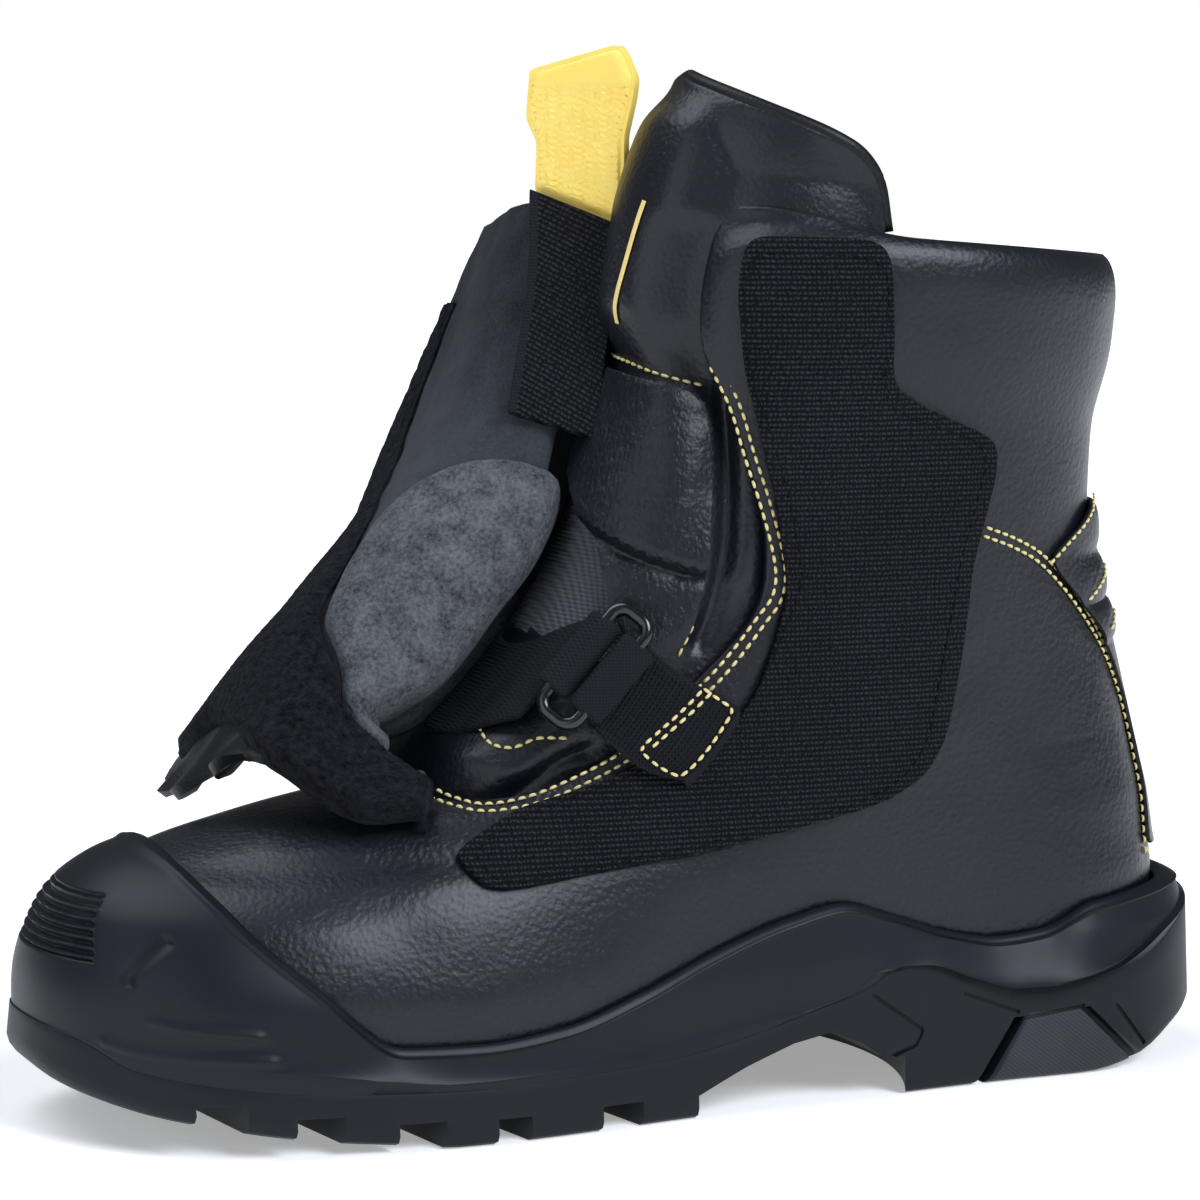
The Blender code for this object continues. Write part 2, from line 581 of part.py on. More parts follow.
def build_tongue(parts, leather):
    """Bellows leather under the throat, thickening into the padded top."""
    across, up = np.meshgrid(np.linspace(-1, 1, 17), np.linspace(0, 1, 16))
    rises = [row.rise for row in TONGUE]
    top = ease(np.abs(across), [p[0] for p in TONGUE_TOP], [p[1] for p in TONGUE_TOP])
    rise = TONGUE[0].rise + (top - TONGUE[0].rise) * up
    outer = ease(rise, rises, [row.outer for row in TONGUE])
    inner = ease(rise, rises, [row.inner for row in TONGUE])
    turn = 1 + np.where(across >= 0, across * (1 - inner), across * (1 - outer))
    side = np.where(turn > 1, 2 - turn, turn)
    limit = throat_limit(np.where(turn > 1, -1, 1), rise)
    free = np.clip((side - limit - 0.01) / 0.10, 0, 1)
    free = free * free * (3 - 2 * free) * np.clip((rise - 0.50) / 0.04, 0, 1)
    free = np.maximum(free, np.clip((rise - 1.05) / 0.08, 0, 1))
    deeper = 2.0 * np.clip((0.56 - rise) / 0.06, 0, 1)
    rise = dipped(side, rise)
    inside = wall_at(last(turn, rise)[..., 2]) + TONGUE_SEAT + deeper
    points = last(turn, rise, -inside * (1 - free) - 0.8 * free)
    tongue = sheet("tongue", points, parts, leather, 7.5, False)
    padded = tongue.vertex_groups.new(name="padding")
    thick = ease(rise, rises, [row.thickness for row in TONGUE]) / 7.5
    flat = points.reshape(-1, 3) * MM
    for vert in tongue.data.vertices:
        nearest = np.argmin(((flat - np.array(vert.co)) ** 2).sum(-1))
        padded.add([vert.index], float(thick.ravel()[nearest]), "REPLACE")
    tongue.modifiers["wall"].vertex_group = "padding"
    return tongue


def build_insole(parts, cloth):
    """Footbed lying in the shell on the midsole."""
    turn = np.linspace(-1, 1, 33)
    under = last(turn, 0.0, -(WALL + 2 * SEAT))
    under[..., 2] = last(turn, 0.0)[..., 2] + GAP
    top = last(turn, 0.04, -(WALL + 3 * SEAT))
    top[..., 2] = under[..., 2] + INSOLE_THICKNESS
    points = np.stack((to_middle(under), under, top, to_middle(top)))
    return new_object("insole", grid_mesh(points), parts, cloth)


def build_plates(parts, hook, leather, webbing):
    """Fastener patch, back stay and ring tab lying on the upper."""
    draped(
        "fastener_patch", PATCH_OUTLINE, (0.044, 0.055), lambda t, r: last(t, r, np.full(len(t), SEAT)),
        parts, hook, PATCH_THICKNESS,
    )
    mirrored = [(-t, r) for t, r in STAY_EDGE[:0:-1]]
    draped(
        "back_stay", list(STAY_EDGE[1:]) + mirrored, (1 / 14, 0.0275), stay_shape,
        parts, leather, STAY_THICKNESS,
    )
    a, b = np.meshgrid(np.linspace(0, 1, 6), np.linspace(0, 1, 5))
    corners = np.array(TAB_CORNERS)
    turn, rise = (between(corners[:, k], a, b) for k in (0, 1))
    lift = 2 * SEAT + PATCH_THICKNESS + 1.0 * (1 - a)
    sheet("ring_tab", last(turn, rise, lift), parts, webbing, TAB_THICKNESS, True)


def between(corners, a, b):
    """Bilinear value between four corners (start top, end top, end low, start low)."""
    top = corners[0] + (corners[1] - corners[0]) * a
    low = corners[3] + (corners[2] - corners[3]) * a
    return top + (low - top) * b


def stay_shape(turn, rise):
    """Back stay surface with its padded flex ribs."""
    lift = np.zeros(len(turn))
    for centre in FLEX_RIBS:
        near = np.clip(1 - ((rise - centre) / FLEX_RIB_HALF) ** 2, 0, 1)
        lift = lift + FLEX_RIB_HEIGHT * near * np.clip((0.26 - np.abs(turn)) / 0.08, 0, 1)
    return last(turn, rise, STAY_SEAT + lift)


def build_strap(parts, webbing, steel):
    """Instep strap over the tongue and the wire ring at its end."""
    a, b = np.meshgrid(np.linspace(0, 1, 11), np.linspace(0, 1, 4))
    ends = np.array(STRAP_ENDS)
    turn = ends[0, 0] + (ends[-1, 0] - ends[0, 0]) * a
    high = ease(turn, ends[:, 0], ends[:, 1])
    low = ease(turn, ends[:, 0], ends[:, 2])
    rise = high + (low - high) * b
    lift = 4.0 * np.clip((0.93 - turn) / 0.09, 0, 1) - 0.1
    sheet("instep_strap", last(turn, rise, lift), parts, webbing, STRAP_THICKNESS, False)
    place = Vector(last(RING_AT[0], RING_AT[1], RING_LIFT))
    outward = (place - Vector(last(*RING_AT))).normalized()
    up = Vector(last(RING_AT[0], RING_AT[1] + 0.03) - last(RING_AT[0], RING_AT[1] - 0.03))
    lean = Vector(last(RING_AT[0] - 0.03, RING_AT[1]) - last(RING_AT[0] + 0.03, RING_AT[1]))
    long_way = (up.normalized() + 0.12 * lean.normalized()).normalized()
    wide_way = outward.cross(long_way).normalized()
    wire = bpy.data.curves.new("strap_ring", "CURVE")
    wire.dimensions = "3D"
    wire.bevel_depth = RING_WIRE * MM
    wire.bevel_resolution = 1
    path = wire.splines.new("POLY")
    corner = 3.6
    loop = []
    for sign_l, sign_w, start in ((1, 1, 0), (-1, 1, 90), (-1, -1, 180), (1, -1, 270)):
        for step in range(4):
            angle = math.radians(start + 30 * step)
            along_l = sign_l * (RING_LENGTH / 2 - corner) + corner * math.cos(angle)
            along_w = sign_w * (RING_WIDTH / 2 - corner) + corner * math.sin(angle)
            loop.append((along_l, along_w))
    path.points.add(len(loop) - 1)
    for point, (along_l, along_w) in zip(path.points, loop):
        point.co = (*((place + long_way * along_l + wide_way * along_w) * MM), 1)
    path.use_cyclic_u = True
    ring = bpy.data.objects.new("strap_ring", wire)
    wire.materials.append(steel)
    parts.objects.link(ring)


def flap_face(across, along_hinge, out=0.0):
    """Points on the lined face of the flap, moved off that face by out."""
    across, along_hinge = np.broadcast_arrays(np.asarray(across, float), np.asarray(along_hinge, float))
    controls = []
    for row in FLAP:
        root = last(row.turn, row.rise, FLAP_SEAT)
        bend = last(row.bend_turn, row.bend_rise, BEND_LIFT)
        controls.append([root, bend, row.fold, row.crown, row.edge])
    controls = np.array(controls, float)

    def place(q, p):
        flat = np.empty((q.size, 3))
        for k in range(3):
            columns = [flow(q.ravel(), FLAP_ACROSS, controls[i, :, k]) for i in range(len(FLAP))]
            columns = np.array(columns)
            for n in range(q.size):
                flat[n, k] = flow(p.ravel()[n], FLAP_AT, columns[:, n])
        return flat.reshape(*q.shape, 3)

    middle = place(across, along_hinge)
    if np.all(np.asarray(out) == 0):
        return middle
    d = 0.01
    q0, q1 = np.clip(across - d, 0, 1), np.clip(across + d, 0, 1)
    p0, p1 = np.clip(along_hinge - d, 0, 1), np.clip(along_hinge + d, 0, 1)
    sideways = place(q1, along_hinge) - place(q0, along_hinge)
    upward = place(across, p1) - place(across, p0)
    normal = np.cross(upward, sideways)
    normal = normal / np.linalg.norm(normal, axis=-1, keepdims=True)
    return middle + normal * np.broadcast_to(out, across.shape)[..., None]


def flap_trim(along_hinge):
    """Share of the flap's width that is left beside the round corner at its toe end."""
    return 1 - CORNER_CUT * (1 - np.clip(along_hinge / CORNER_RUN, 0, 1)) ** 2


def build_flap(parts, leather, suede, pile, hook, plastic):
    """The open flap with its pad, pile band, closing strap and pull tab."""
    q, p = np.meshgrid(np.linspace(0, 1, 15), np.linspace(0, 1, 18) ** 1.3)
    sheet("flap", flap_face(q * flap_trim(p), p), parts, leather, FLAP_THICKNESS, False, even=False)
    share, p = np.meshgrid(np.linspace(0, 1, 7), np.linspace(*BAND_SPAN, 17))
    inner, outer = (ease(p, [e[0] for e in edge], [e[1] for e in edge]) for edge in (BAND_INNER, BAND_OUTER))
    q = inner + (outer * flap_trim(p) - inner) * share
    sheet("flap_loop_band", flap_face(q, p, BAND_SEAT), parts, pile, BAND_THICKNESS, True, even=False)
    share, p = np.meshgrid(np.linspace(0, 1, 7), np.linspace(*PAD_SPAN, 13))
    outer = ease(p, [e[0] for e in PAD_OUTER], [e[1] for e in PAD_OUTER])
    q = PAD_ROOT + (outer - PAD_ROOT) * share
    sheet("flap_pad", flap_face(q, p, PAD_SEAT), parts, suede, PAD_THICKNESS, True, even=False)
    edges = np.array(HOOK, float)
    down = np.linspace(0, 1, 10) * (len(HOOK) - 1)
    front, rear = (
        np.stack([flow(down, range(len(HOOK)), edges[:, side, k]) for k in range(3)], axis=-1)
        for side in (0, 1)
    )
    strap = np.stack([front, (front + rear) / 2, rear], axis=1)
    sheet("closing_strap", strap, parts, hook, HOOK_THICKNESS, True, even=False)
    rise = np.array(GRIP_RISE)
    width = front[0] - rear[0]
    outward = np.cross(width, rise) / np.linalg.norm(np.cross(width, rise))
    base = rear[0] + outward * HOOK_THICKNESS / 2 + rise / np.linalg.norm(rise) * 2 * GAP
    bm = bmesh.new()
    outline = [base + width * a + rise * b for a, b in GRIP_OUTLINE]
    bm.faces.new([bm.verts.new(Vector(point) * MM) for point in outline])
    grip = new_object("pull_tab", bm, parts, plastic, closed=False)
    wall = grip.modifiers.new("wall", "SOLIDIFY")
    wall.thickness = GRIP_THICKNESS * MM
    wall.offset = 0


def main():
    """Build every piece of the boot."""
    parts, cutters = start_scene()
    rubber = material("sole_rubber", (0.03, 0.032, 0.04), 0.6)
    foam = material("midsole_foam", (0.04, 0.042, 0.05), 0.6)
    leather = material("upper_leather", (0.035, 0.037, 0.045), 0.45)
    lining = material("lining_cloth", (0.08, 0.08, 0.085), 0.9)
    hook = material("hook_tape", (0.03, 0.03, 0.035), 0.8)
    pile = material("pile_tape", (0.02, 0.02, 0.022), 0.95)
    suede = material("pad_suede", (0.12, 0.12, 0.13), 0.9)
    webbing = material("strap_webbing", (0.03, 0.03, 0.035), 0.8)
    steel = material("ring_steel", (0.05, 0.05, 0.055), 0.3, 1.0)
    plastic = material("pull_tab_plastic", (0.85, 0.6, 0.08), 0.45)
    build_outsole(parts, cutters, rubber)
    build_midsole(parts, cutters, foam)
    build_upper(parts, leather)
    build_tongue(parts, leather)
    build_insole(parts, lining)
    build_plates(parts, hook, leather, webbing)
    build_strap(parts, webbing, steel)
    build_flap(parts, leather, suede, pile, hook, plastic)


main()
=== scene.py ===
"""Foundry boot for the left foot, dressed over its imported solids.

Every piece is laid out in millimetres on the same foot form as the solids, with +X to the
toe, +Y to the outer side and +Z up, and becomes metres where its mesh is made.
"""
from __future__ import annotations

import logging
import math
from dataclasses import dataclass
from enum import Enum
from typing import Callable, NamedTuple, Sequence

import bpy
import numpy as np
from mathutils import Matrix, Vector

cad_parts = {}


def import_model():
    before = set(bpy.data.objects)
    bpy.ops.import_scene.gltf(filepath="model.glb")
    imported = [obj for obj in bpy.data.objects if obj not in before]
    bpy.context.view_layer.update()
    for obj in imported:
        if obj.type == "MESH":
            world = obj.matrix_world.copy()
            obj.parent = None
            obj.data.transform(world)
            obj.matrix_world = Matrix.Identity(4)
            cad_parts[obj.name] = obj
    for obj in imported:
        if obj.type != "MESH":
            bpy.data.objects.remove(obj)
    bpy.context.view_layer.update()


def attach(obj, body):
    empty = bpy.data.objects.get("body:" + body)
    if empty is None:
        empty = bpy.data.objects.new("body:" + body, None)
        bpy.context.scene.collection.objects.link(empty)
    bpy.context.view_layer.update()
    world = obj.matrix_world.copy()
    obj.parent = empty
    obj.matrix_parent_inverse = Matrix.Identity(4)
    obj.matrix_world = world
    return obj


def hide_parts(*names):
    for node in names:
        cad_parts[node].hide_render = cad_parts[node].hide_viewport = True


MM = 0.001
ROOT = "root"
LOG = logging.getLogger("foundry_boot")
Pair = tuple[float, float]
Triple = tuple[float, float, float]
Array = np.ndarray
Piece = bpy.types.Object
TAU = 2 * math.pi
# Millimetres on the foot form for one unit of turn and one unit of rise.
SHARE_MM: Pair = (150.0, 190.0)


def step01(x: Array | float) -> Array:
    """Soft step from 0 to 1 over the unit range."""
    t = np.clip(x, 0.0, 1.0)
    return t * t * (3.0 - 2.0 * t)


def bell(x: Array, width: float) -> Array:
    """Bell curve of height 1 and the given half width."""
    return np.exp(-((x / width) ** 2))


def hermite(x: Array, at: Array, height: Array, slope: Array) -> Array:
    """Piecewise cubic through knots.

    Args:
        x: Where the curve is read.
        at: Knot places, rising.
        height: Value at each knot, with one column for each x or shared by all.
        slope: Slope at each knot, shaped as height.

    Returns:
        The curve's values at x.
    """
    x = np.clip(np.asarray(x, float), at[0], at[-1])
    i = np.clip(np.searchsorted(at, x, side="right") - 1, 0, len(at) - 2)
    span = at[i + 1] - at[i]
    t = (x - at[i]) / span
    rest = 1 - t
    if height.ndim > 1:
        k = np.arange(height.shape[1])
        h0, h1, s0, s1 = height[i, k], height[i + 1, k], slope[i, k], slope[i + 1, k]
    else:
        h0, h1, s0, s1 = height[i], height[i + 1], slope[i], slope[i + 1]
    cubic = h0 * (1 + 2 * t) * rest ** 2 + h1 * (3 - 2 * t) * t ** 2
    return cubic + span * (s0 * t * rest ** 2 - s1 * rest * t ** 2)


def ease(x: Array | float, knots: Sequence[float], values: Sequence[float]) -> Array:
    """Smooth curve through the knots, with no overshoot between them."""
    at, height = np.asarray(knots, float), np.asarray(values, float)
    slope = np.diff(height) / np.diff(at)
    tangent = np.concatenate(([slope[0]], np.zeros(len(slope) - 1), [slope[-1]]))
    for i in range(1, len(slope)):
        if slope[i - 1] * slope[i] > 0:
            tangent[i] = 2 * slope[i - 1] * slope[i] / (slope[i - 1] + slope[i])
    return hermite(x, at, height, tangent)


def flow(x: Array | float, knots: Sequence[float], values: Array) -> Array:
    """Rounder curve through the knots, for leather that bows."""
    at, height = np.asarray(knots, float), np.asarray(values, float)
    return hermite(x, at, height, np.gradient(height, at, axis=0))


def curve(x: Array | float, line: Sequence[Pair]) -> Array:
    """Value at x of a line given by its knots."""
    return ease(x, [p[0] for p in line], [p[1] for p in line])


def unit(v: Array) -> Array:
    """Vectors scaled to length one."""
    return v / np.maximum(np.linalg.norm(v, axis=-1, keepdims=True), 1e-12)


def spread(path: Array, count: int) -> Array:
    """A smooth path through a few points, as many points evenly far apart."""
    path = np.asarray(path, float)
    knots = np.arange(len(path))
    fine = np.linspace(0, len(path) - 1, count * 4)
    dense = np.stack([flow(fine, knots, path[:, k]) for k in range(path.shape[1])], axis=-1)
    run = np.concatenate(([0], np.cumsum(np.linalg.norm(np.diff(dense, axis=0), axis=-1))))
    at = np.linspace(0, run[-1], count)
    return np.stack([np.interp(at, run, dense[:, k]) for k in range(path.shape[1])], axis=-1)


def rounded(outline: Sequence[Pair], scale: Pair, radius: float, steps: int = 4) -> Array:
    """An outline with its corners rounded.

    Args:
        outline: Corner points.
        scale: Millimetres for one unit of each coordinate.
        radius: Length cut from each side of a corner, in millimetres.
        steps: Points on each rounded corner.

    Returns:
        The outline's points.
    """
    points = np.asarray(outline, float)
    size = np.asarray(scale, float)
    result = []
    for i, corner in enumerate(points):
        ends = []
        for other in (points[i - 1], points[(i + 1) % len(points)]):
            reach = np.linalg.norm((other - corner) * size)
            ends.append(corner + (other - corner) * min(radius / reach, 0.45))
        for t in np.linspace(0, 1, steps):
            result.append(ends[0] * (1 - t) ** 2 + corner * 2 * t * (1 - t) + ends[1] * t * t)
    return np.array(result)


def between_rows(rows: Sequence[NamedTuple], field: str, rise: Array) -> Array:
    """One field of a table of rows, eased between their rises."""
    return ease(rise, [row.rise for row in rows], [getattr(row, field) for row in rows])


def own_side(turn: Array) -> Array:
    """Turn of a place, counted from the heel on its own side of the front ridge."""
    return np.where(turn > 1, 2 - turn, turn)


def nearest(points: Array, places: Array) -> Array:
    """Number of the point that lies nearest to each place."""
    return np.array([((points - place) ** 2).sum(-1).argmin() for place in places])


def wander(points: Array, pitch: float, seed: float = 0.0) -> Array:
    """Slow even wandering between -1 and 1 over space, for cloth and pile that isn't flat."""
    total = np.zeros(points.shape[:-1])
    for k, turn in enumerate((0.3, 1.4, 2.6, 3.9)):
        way = np.array([math.cos(turn + seed), math.sin(turn * 1.7 + seed), math.cos(turn * 0.6 + 1)])
        total = total + np.sin(points @ way * (TAU / pitch) * (1 + 0.37 * k) + seed * 3 + k)
    return total / 4


class Ring(NamedTuple):
    """One ring around the foot, from its back point to its front point."""

    back_x: float
    back_z: float
    front_x: float
    front_z: float
    heel: float
    waist: float
    ball: float
    back_round: float
    front_round: float
    sag: float
    swing: float


@dataclass(frozen=True)
class Last:
    """The foot form that the leather is laid on.

    A point is given by its turn, 0 at the back and +1 (outer) or -1 (inner) at the front
    ridge, and its rise, 0 at the feather edge and 1 at the collar.
    """

    rings: tuple[Ring, ...] = (
        Ring(-64.0, 27.0, 217.0, 25.0, 33.0, 31.5, 45.0, 40, 62, 11, 1.00),
        Ring(-67.5, 37.0, 218.5, 36.0, 35.5, 34.5, 46.5, 42, 62, 5, 1.00),
        Ring(-68.5, 47.0, 215.5, 49.5, 36.5, 35.5, 42.5, 44, 62, 1, 1.00),
        Ring(-67.0, 56.0, 207.0, 59.0, 36.5, 36.0, 38.5, 45, 74, 0, 1.00),
        Ring(-65.5, 65.0, 195.0, 65.0, 36.5, 36.0, 36.0, 45, 98, 0, 0.95),
        Ring(-63.0, 75.0, 172.0, 71.0, 36.0, 36.0, 36.0, 45, 95, 0, 0.85),
        Ring(-60.0, 87.0, 148.0, 76.0, 35.5, 36.0, 34.5, 46, 80, 0, 0.70),
        Ring(-56.5, 101.0, 126.0, 89.0, 35.5, 36.0, 35.5, 48, 65, 0, 0.50),
        Ring(-52.5, 117.0, 106.0, 110.0, 36.0, 36.5, 35.5, 50, 58, 0, 0.30),
        Ring(-49.0, 135.0, 91.0, 136.0, 37.5, 38.0, 36.5, 54, 56, 0, 0.15),
        Ring(-49.5, 155.0, 81.0, 163.0, 39.5, 40.0, 38.5, 58, 56, 0, 0.05),
        Ring(-51.0, 180.0, 74.0, 189.0, 41.5, 42.0, 40.5, 60, 57, 0, 0.00),
        Ring(-53.0, 203.0, 69.0, 213.0, 43.0, 43.5, 42.0, 61, 58, 0, 0.00),
        Ring(-54.0, 221.0, 63.0, 230.0, 43.0, 43.5, 42.0, 58, 56, 0, 0.00),
        Ring(-55.0, 238.0, 57.5, 245.0, 43.0, 43.5, 42.0, 56, 54, 0, 0.00),
    )
    collar_ring: int = 12
    width_at: tuple[float, ...] = (0.0, 0.15, 0.42, 0.72, 1.0)
    centre_line: tuple[Pair, ...] = (
        (0.0, 0.0), (0.2, 0.0), (0.42, 5.0), (0.66, 1.0), (0.78, -2.5), (1.0, -10.0),
    )
    sag_at: float = 0.66
    sag_reach: float = 0.20
    toe_power: float = 2.2

    def ring(self, rise: Array) -> Ring:
        """All columns of the ring table at a rise."""
        index = np.asarray(rise, float) * self.collar_ring
        count = range(len(self.rings))
        return Ring(*(ease(index, count, column) for column in zip(*self.rings)))

    def half_width(self, ring: Ring, s: Array) -> Array:
        """Half width at the share s of a ring's length, before its ends are rounded."""
        stations = (ring.heel, ring.heel, ring.waist, ring.ball, ring.ball)
        stations = [np.broadcast_to(v, np.shape(s)) for v in stations]
        width = np.array(stations[0], float)
        for i in range(len(self.width_at) - 1):
            t = (s - self.width_at[i]) / (self.width_at[i + 1] - self.width_at[i])
            width = width + (stations[i + 1] - stations[i]) * step01(t)
        return width

    def on_ring(self, ring: Ring, turn: Array) -> Array:
        """Points on a ring at a turn."""
        turn = np.asarray(turn, float)
        turn = np.where(np.abs(turn) > 1, turn - 2 * np.sign(turn), turn)
        s = 0.5 - 0.5 * np.cos(math.pi * np.abs(turn))
        x = ring.back_x + (ring.front_x - ring.back_x) * s
        sag = ring.sag * bell(s - self.sag_at, self.sag_reach)
        z = ring.back_z + (ring.front_z - ring.back_z) * s - sag
        from_back = np.clip(1 - (x - ring.back_x) / ring.back_round, 0, 1)
        from_front = np.clip(1 - (ring.front_x - x) / ring.front_round, 0, 1)
        ends = np.sqrt(1 - from_back ** 2) * (1 - from_front ** self.toe_power) ** (1 / self.toe_power)
        y = ring.swing * curve(s, self.centre_line) + np.sign(turn) * self.half_width(ring, s) * ends
        return np.stack(np.broadcast_arrays(x, y, z), axis=-1)

    def normal(self, turn: Array, rise: Array) -> Array:
        """Outward normals."""
        d = 0.004
        around = self.on_ring(self.ring(rise), turn + d) - self.on_ring(self.ring(rise), turn - d)
        upward = self.on_ring(self.ring(rise + d), turn) - self.on_ring(self.ring(rise - d), turn)
        return unit(np.cross(upward, around))

    def place(self, turn: Array, rise: Array, out: Array | float = 0.0) -> Array:
        """Points on the form, moved outward along its normal.

        Args:
            turn: Share of the way round.
            rise: Share of the way up.
            out: Millimetres off the form.

        Returns:
            Points in millimetres, shaped as turn with a last axis of three.
        """
        turn, rise = np.broadcast_arrays(np.asarray(turn, float), np.asarray(rise, float))
        point = self.on_ring(self.ring(rise), turn)
        return point + self.normal(turn, rise) * np.broadcast_to(out, turn.shape)[..., None]

    def rise_where(self, turn: Array, line: Sequence[Pair], lift: float = 0.0) -> Array:
        """Rise at which each column crosses a side-view line."""
        rises = np.linspace(0, 0.6, 241)
        grid = self.place(np.asarray(turn)[..., None], rises)
        above = grid[..., 2] - curve(grid[..., 0], line) - lift
        first = np.argmax(above >= 0, axis=-1)
        before = np.maximum(first - 1, 0)
        low = np.take_along_axis(above, before[..., None], -1)[..., 0]
        high = np.take_along_axis(above, first[..., None], -1)[..., 0]
        part = np.where(first > 0, -low / np.maximum(high - low, 1e-9), 0)
        return rises[before] + part * (rises[1] - rises[0])


class Bench:
    """Modelling steps, done as a modeller does them by hand."""

    @staticmethod
    def clear() -> None:
        """Leave edit mode and deselect everything."""
        if bpy.context.object and bpy.context.object.mode != "OBJECT":
            bpy.ops.object.mode_set(mode="OBJECT")
        bpy.ops.object.select_all(action="DESELECT")

    @staticmethod
    def pick(obj: Piece) -> None:
        """Select one piece and make it active."""
        Bench.clear()
        obj.select_set(True)
        bpy.context.view_layer.objects.active = obj

    @staticmethod
    def edit(obj: Piece, *steps: Callable[[], object]) -> None:
        """Run edit-mode steps, each on the whole piece."""
        Bench.pick(obj)
        bpy.ops.object.mode_set(mode="EDIT")
        for step in steps:
            bpy.ops.mesh.select_all(action="SELECT")
            step()
        bpy.ops.object.mode_set(mode="OBJECT")

    @staticmethod
    def places(obj: Piece) -> Array:
        """Vertex places of a piece, in its own units."""
        flat = np.empty(len(obj.data.vertices) * 3)
        obj.data.vertices.foreach_get("co", flat)
        return flat.reshape(-1, 3)

    @staticmethod
    def centres(obj: Piece) -> Array:
        """Middles of a piece's faces, in millimetres."""
        return np.array([face.center for face in obj.data.polygons]) / MM

    @staticmethod
    def move(obj: Piece, places: Array) -> None:
        """Set the vertex places of a piece."""
        obj.data.vertices.foreach_set("co", np.ascontiguousarray(places, float).ravel())
        obj.data.update()

    @staticmethod
    def named(name: str) -> Piece:
        """The primitive just added, under its name."""
        obj = bpy.context.active_object
        obj.name = name
        obj.data.name = name
        return obj

    @staticmethod
    def grid(name: str, points: Array, flip: bool = False) -> Piece:
        """A grid primitive carried onto rows of points, with its own UV map.

        Args:
            name: Name of the piece.
            points: Millimetres, shaped (rows, columns, 3).
            flip: Turn the faces round.

        Returns:
            The new piece.
        """
        rows, columns = points.shape[:2]
        Bench.clear()
        bpy.ops.mesh.primitive_grid_add(x_subdivisions=columns - 1, y_subdivisions=rows - 1, size=1.0)
        obj = Bench.named(name)
        flat = Bench.places(obj)
        column = np.rint((flat[:, 0] + 0.5) * (columns - 1)).astype(int)
        row = np.rint((flat[:, 1] + 0.5) * (rows - 1)).astype(int)
        Bench.move(obj, points[row, column] * MM)
        if flip:
            Bench.edit(obj, bpy.ops.mesh.flip_normals)
        return obj

    @staticmethod
    def close(obj: Piece) -> None:
        """Merge equal points of a closed piece and turn its faces outward."""
        Bench.edit(
            obj,
            lambda: bpy.ops.mesh.remove_doubles(threshold=2e-6),
            lambda: bpy.ops.mesh.normals_make_consistent(inside=False),
        )

    @staticmethod
    def outward(obj: Piece) -> None:
        """Turn all faces of a piece the same way, outward."""
        Bench.edit(obj, lambda: bpy.ops.mesh.normals_make_consistent(inside=False))

    @staticmethod
    def modify(obj: Piece, kind: str, **settings: object) -> None:
        """Add a modifier and apply it."""
        modifier = obj.modifiers.new(kind.lower(), kind)
        for key, value in settings.items():
            setattr(modifier, key, value)
        Bench.pick(obj)
        bpy.ops.object.modifier_apply(modifier=modifier.name)

    @staticmethod
    def wall(obj: Piece, thickness: float, outward: bool = False, **settings: object) -> None:
        """Give a surface its thickness, in millimetres, outward or inward of its faces."""
        Bench.modify(obj, "SOLIDIFY", thickness=thickness * MM, offset=1.0 if outward else -1.0, **settings)

    @staticmethod
    def smooth(obj: Piece, angle: float = 180.0) -> None:
        """Shade smooth, apart from edges sharper than an angle in degrees."""
        Bench.pick(obj)
        if angle >= 180.0:
            bpy.ops.object.shade_smooth()
        else:
            bpy.ops.object.shade_smooth_by_angle(angle=math.radians(angle))

    @staticmethod
    def soften(obj: Piece) -> None:
        """Round a piece with a subdivision surface."""
        Bench.modify(obj, "SUBSURF", levels=1, render_levels=1)
        Bench.smooth(obj)

    @staticmethod
    def round_edges(obj: Piece, width: float, segments: int = 2, angle: float = 38.0) -> None:
        """Bevel the sharp edges by a width in millimetres."""
        Bench.modify(
            obj, "BEVEL", width=width * MM, segments=segments, limit_method="ANGLE",
            angle_limit=math.radians(angle), use_clamp_overlap=True,
        )
        Bench.smooth(obj, 40.0)

    @staticmethod
    def tube(name: str, path: Array, radius: float, sides: int, closed: bool = False) -> Piece:
        """A round cord along a path.

        Args:
            name: Name of the piece.
            path: Millimetres, shaped (points, 3).
            radius: Radius in millimetres.
            sides: Points around the cord.
            closed: Whether the path runs back into its start.

        Returns:
            The new piece, with its ends drawn together unless it is closed.
        """
        if closed:
            path = np.vstack((path, path[:1]))
            tangent = unit(np.roll(path[:-1], -1, axis=0) - np.roll(path[:-1], 1, axis=0))
            tangent = np.vstack((tangent, tangent[:1]))
        else:
            path = np.vstack((path[:1], path, path[-1:]))
            tangent = unit(np.gradient(path, axis=0))
        radii = np.full(len(path), radius)
        if not closed:
            radii[[0, -1]] = 0.0
        guide = np.array([0.31, 0.17, 0.93])
        side = unit(np.cross(tangent, guide))
        lift = np.cross(side, tangent)
        angle = np.linspace(0, TAU, sides + 1)[None, :, None]
        rim = np.cos(angle) * side[:, None] + np.sin(angle) * lift[:, None]
        obj = Bench.grid(name, path[:, None] + rim * radii[:, None, None])
        Bench.close(obj)
        Bench.smooth(obj)
        return obj

